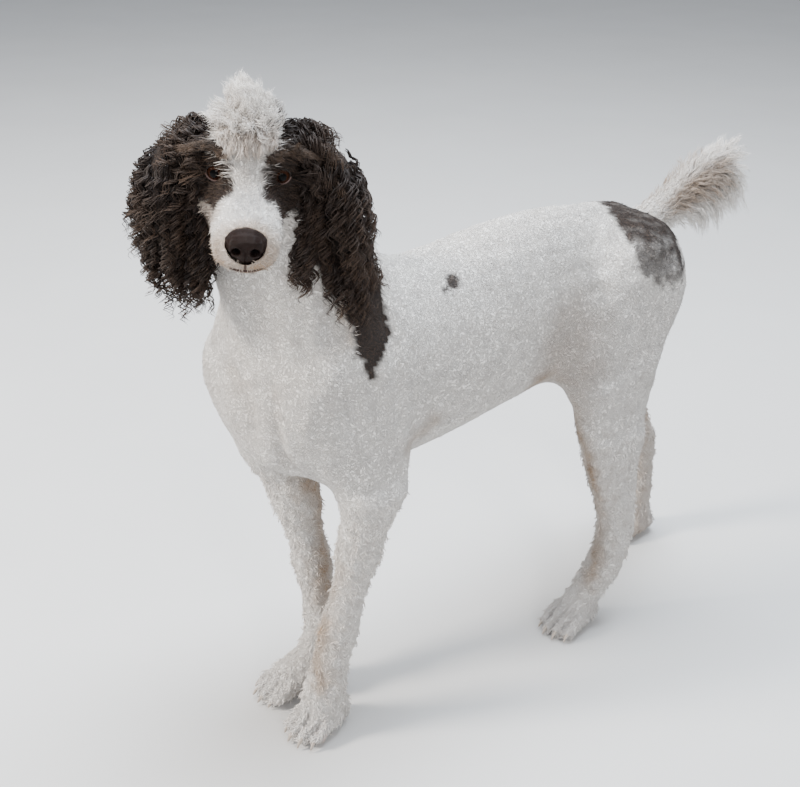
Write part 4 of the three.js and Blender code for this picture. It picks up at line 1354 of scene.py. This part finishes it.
def makeEyes():
    s = eyeSettings
    ball = eyeLook()
    rim = rimLook()
    for side, sign in (("left", 1), ("right", -1)):
        centre, gaze, across, over = eyeFrame(sign)
        work = bmesh.new()
        bmesh.ops.create_uvsphere(work, u_segments=48, v_segments=32, radius=1.0)
        piece = placed("eyeball_" + side, meshFrom(work, "eyeball_" + side), ball)
        local = pointsOf(piece.data)
        turn = np.arctan2(np.hypot(local[:, 0], local[:, 1]), local[:, 2])
        bulge = 1 + 0.07 * ramp(0.62 - turn, 0, 0.3)
        local = (local * bulge[:, None]) @ np.stack([across, over, gaze]) * s["radius"]
        setPoints(piece.data, fromHead(local + centre))
        addMarks(piece, {"gaze": turn})
        outwardFaces(piece)
        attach(piece, "root")
        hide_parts("eye_" + side)

        angle = np.arange(s["rimPoints"]) * 2 * np.pi / s["rimPoints"]
        shape = columns(np.cos(angle) * s["wide"], np.sin(angle) * s["tall"])
        shape = shape * (1.03 / almond(*shape.T))[:, None]
        depth = np.sqrt((s["radius"] + 0.7) ** 2 - (shape ** 2).sum(1))
        line = centre + shape[:, :1] * across + shape[:, 1:] * over + gaze * depth[:, None]
        lower = (shape[:, 1] < -1.0).astype(float)
        thick = s["rimThick"] * mm
        lids = tubePiece(
            "eye_rim_" + side, fromHead(line), thick, s["rimSides"], rim, True, {"lower": lower})


makeEyes()
print("eyes")


# Nose leather: an even copy of the solid nose, with nostrils, slits and a groove worked in
noseSettings = {
    "voxel": 0.0009,
    "centre": (0, -97, -30),
    "nostril": (8.6, -3.5),
    "nostrilRadius": 3.5,
    "slitEnd": (16.5, -7.5),
    "slitRadius": 1.1,
    "deep": 6.5,
}


def noseLook():
    look = Look("noseLeather")
    sockets = {"Vector": look.places(), "Scale": 1100.0}
    cells = look.node("ShaderNodeTexVoronoi", {"feature": "DISTANCE_TO_EDGE"}, sockets, "Distance")
    pebble = look.stretch(cells, 0.0, 0.22)
    colour = look.blend(look.noise(160), rgb(0.006, 0.003, 0.002), rgb(0.016, 0.007, 0.005))
    # painted shade: the nostrils and slits darker the deeper they are sunk
    colour = look.blend(look.mark("deep"), colour, rgb(0.003, 0.002, 0.002))
    return look.finish(colour, 0.38 - 0.08 * pebble, 0.1, look.bump(pebble, 0.0004, 0.7))


def makeNose():
    s = noseSettings
    piece = evenCopy("nose_leather", ["nose"], s["voxel"], noseLook(), [])
    points = smoothed(pointsOf(piece.data), piece.data, np.ones(len(piece.data.vertices)), 24)
    h = toHead(points) - s["centre"]
    x, y, z = h.T
    front = ramp(-y, -4, 3)
    x *= 1 + 0.04 * np.clip(z / 9, -1.3, 0.6)  # broad above, drawn in towards the lip
    h[:, ::2] *= (1 + 0.13 * ramp(y, -4, 3))[:, None]  # its edge flares into the muzzle
    y[:] = np.where(y < -5, -5 - 5.5 * np.tanh((-5 - y) / 6.5), y)
    y -= 1.3 * bell(z - 6.5, 3.2) * front
    side = columns(np.abs(x), z)
    hole = ramp(s["nostrilRadius"] - norm((side - s["nostril"]) * (0.85, 1.1)), -0.9, 1.3)
    slit = ramp(s["slitRadius"] - lineDistance(side, (s["nostril"], s["slitEnd"])), -0.7, 0.7)
    groove = bell(x, 0.8) * ramp(-z, 1, 5)
    wing = bell(norm(side - s["nostril"] - (1.5, 0.5)) - 5.4, 1.6)
    # deep: how far the nostrils and slits sink, which also sets their painted shade
    deep = np.maximum(hole, 0.55 * slit) * front
    y += deep * s["deep"] + 1.3 * groove * front - 0.9 * wing * front
    setPoints(piece.data, fromHead(h + s["centre"]))
    addMarks(piece, {"deep": deep})
    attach(piece, "root")
    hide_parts("nose")


makeNose()
print("nose")


# Claws: the solid claws rounded, in one piece
def clawLook():
    look = Look("clawHorn")
    bands = look.noise(500, 2)
    colour = look.blend(bands, rgb(0.30, 0.25, 0.21), rgb(0.52, 0.45, 0.38))
    return look.finish(colour, 0.38, normal=look.bump(bands, 0.0003))


def makeClaws():
    names = sorted(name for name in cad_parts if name.startswith("claw_"))
    work = bmesh.new()
    for name in names:
        work.from_mesh(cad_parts[name].data)
    bmesh.ops.remove_doubles(work, verts=work.verts[:], dist=0.02 * mm)
    piece = placed("claws", meshFrom(work, "claws"), clawLook())
    drawnBack = np.array((0, 5.5, 1.0)) * mm  # under the hair of the toes
    setPoints(piece.data, pointsOf(piece.data) + drawnBack)
    subdivide = piece.modifiers.new("round", "SUBSURF")
    subdivide.levels = 2
    subdivide.render_levels = 2
    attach(piece, "root")
    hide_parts(*names)


makeClaws()
print("claws")
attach(skin, "root")


# Floor, light and camera
studio = {
    "lens": 1230 * 36 / 800,
    "cameraFromHead": (1.050, -0.524, 0.335),
    "yaw": 56.2,
    "pitch": 26.1,
    "roll": 0.44,
    "lightsAim": (0, 0, 0.45),
    "lights": {  # place, size, power and colour
        "key": ((-1.1, -2.9, 2.3), 0.9, 230, (1.0, 0.95, 0.88)),
        "sky": ((-0.3, 0.4, 3.4), 2.2, 310, (0.84, 0.92, 1.0)),
        "catch": ((1.63, -1.15, 1.49), 0.26, 11, (1.0, 1.0, 1.0)),
        "fill": ((3.1, -0.6, 2.0), 0.6, 40, (1.0, 0.98, 0.95)),
    },
}


def makeStudio():
    s = studio
    look = Look("paleFloor")
    shade = look.blend(look.noise(3.0), rgb(0.56, 0.55, 0.54), rgb(0.62, 0.61, 0.60))
    corners = np.array(((-9, -9, 0), (9, -9, 0), (9, 9, 0), (-9, 9, 0)), float)
    floor = meshPiece("floor", corners, np.array([(0, 1, 2, 3)]), look.finish(shade, 0.9))

    world = bpy.data.worlds.new("studio")
    scene.world = world
    world.use_nodes = True
    sky = world.node_tree.nodes["Background"].inputs
    sky["Color"].default_value = rgb(0.80, 0.86, 0.95)
    sky["Strength"].default_value = 0.58

    for name, (place, size, power, colour) in s["lights"].items():
        light = bpy.data.lights.new(name, "AREA")
        light.shape = "DISK"
        light.size = size
        light.energy = power
        light.color = colour
        lamp = placed(name, light)
        lamp.location = place
        lamp.rotation_euler = (Vector(s["lightsAim"]) - Vector(place)).to_track_quat("-Z", "Y").to_euler()

    camera = bpy.data.cameras.new("camera")
    camera.lens = s["lens"]
    camera.sensor_width = 36
    camera.clip_end = 60
    holder = placed("camera", camera)
    turn = turned(s["yaw"], "Z") @ turned(90 - s["pitch"], "X") @ turned(s["roll"], "Z")
    holder.matrix_world = Matrix.Translation(headSpot + Vector(s["cameraFromHead"])) @ turn.to_4x4()
    scene.camera = holder


makeStudio()
print("studio")
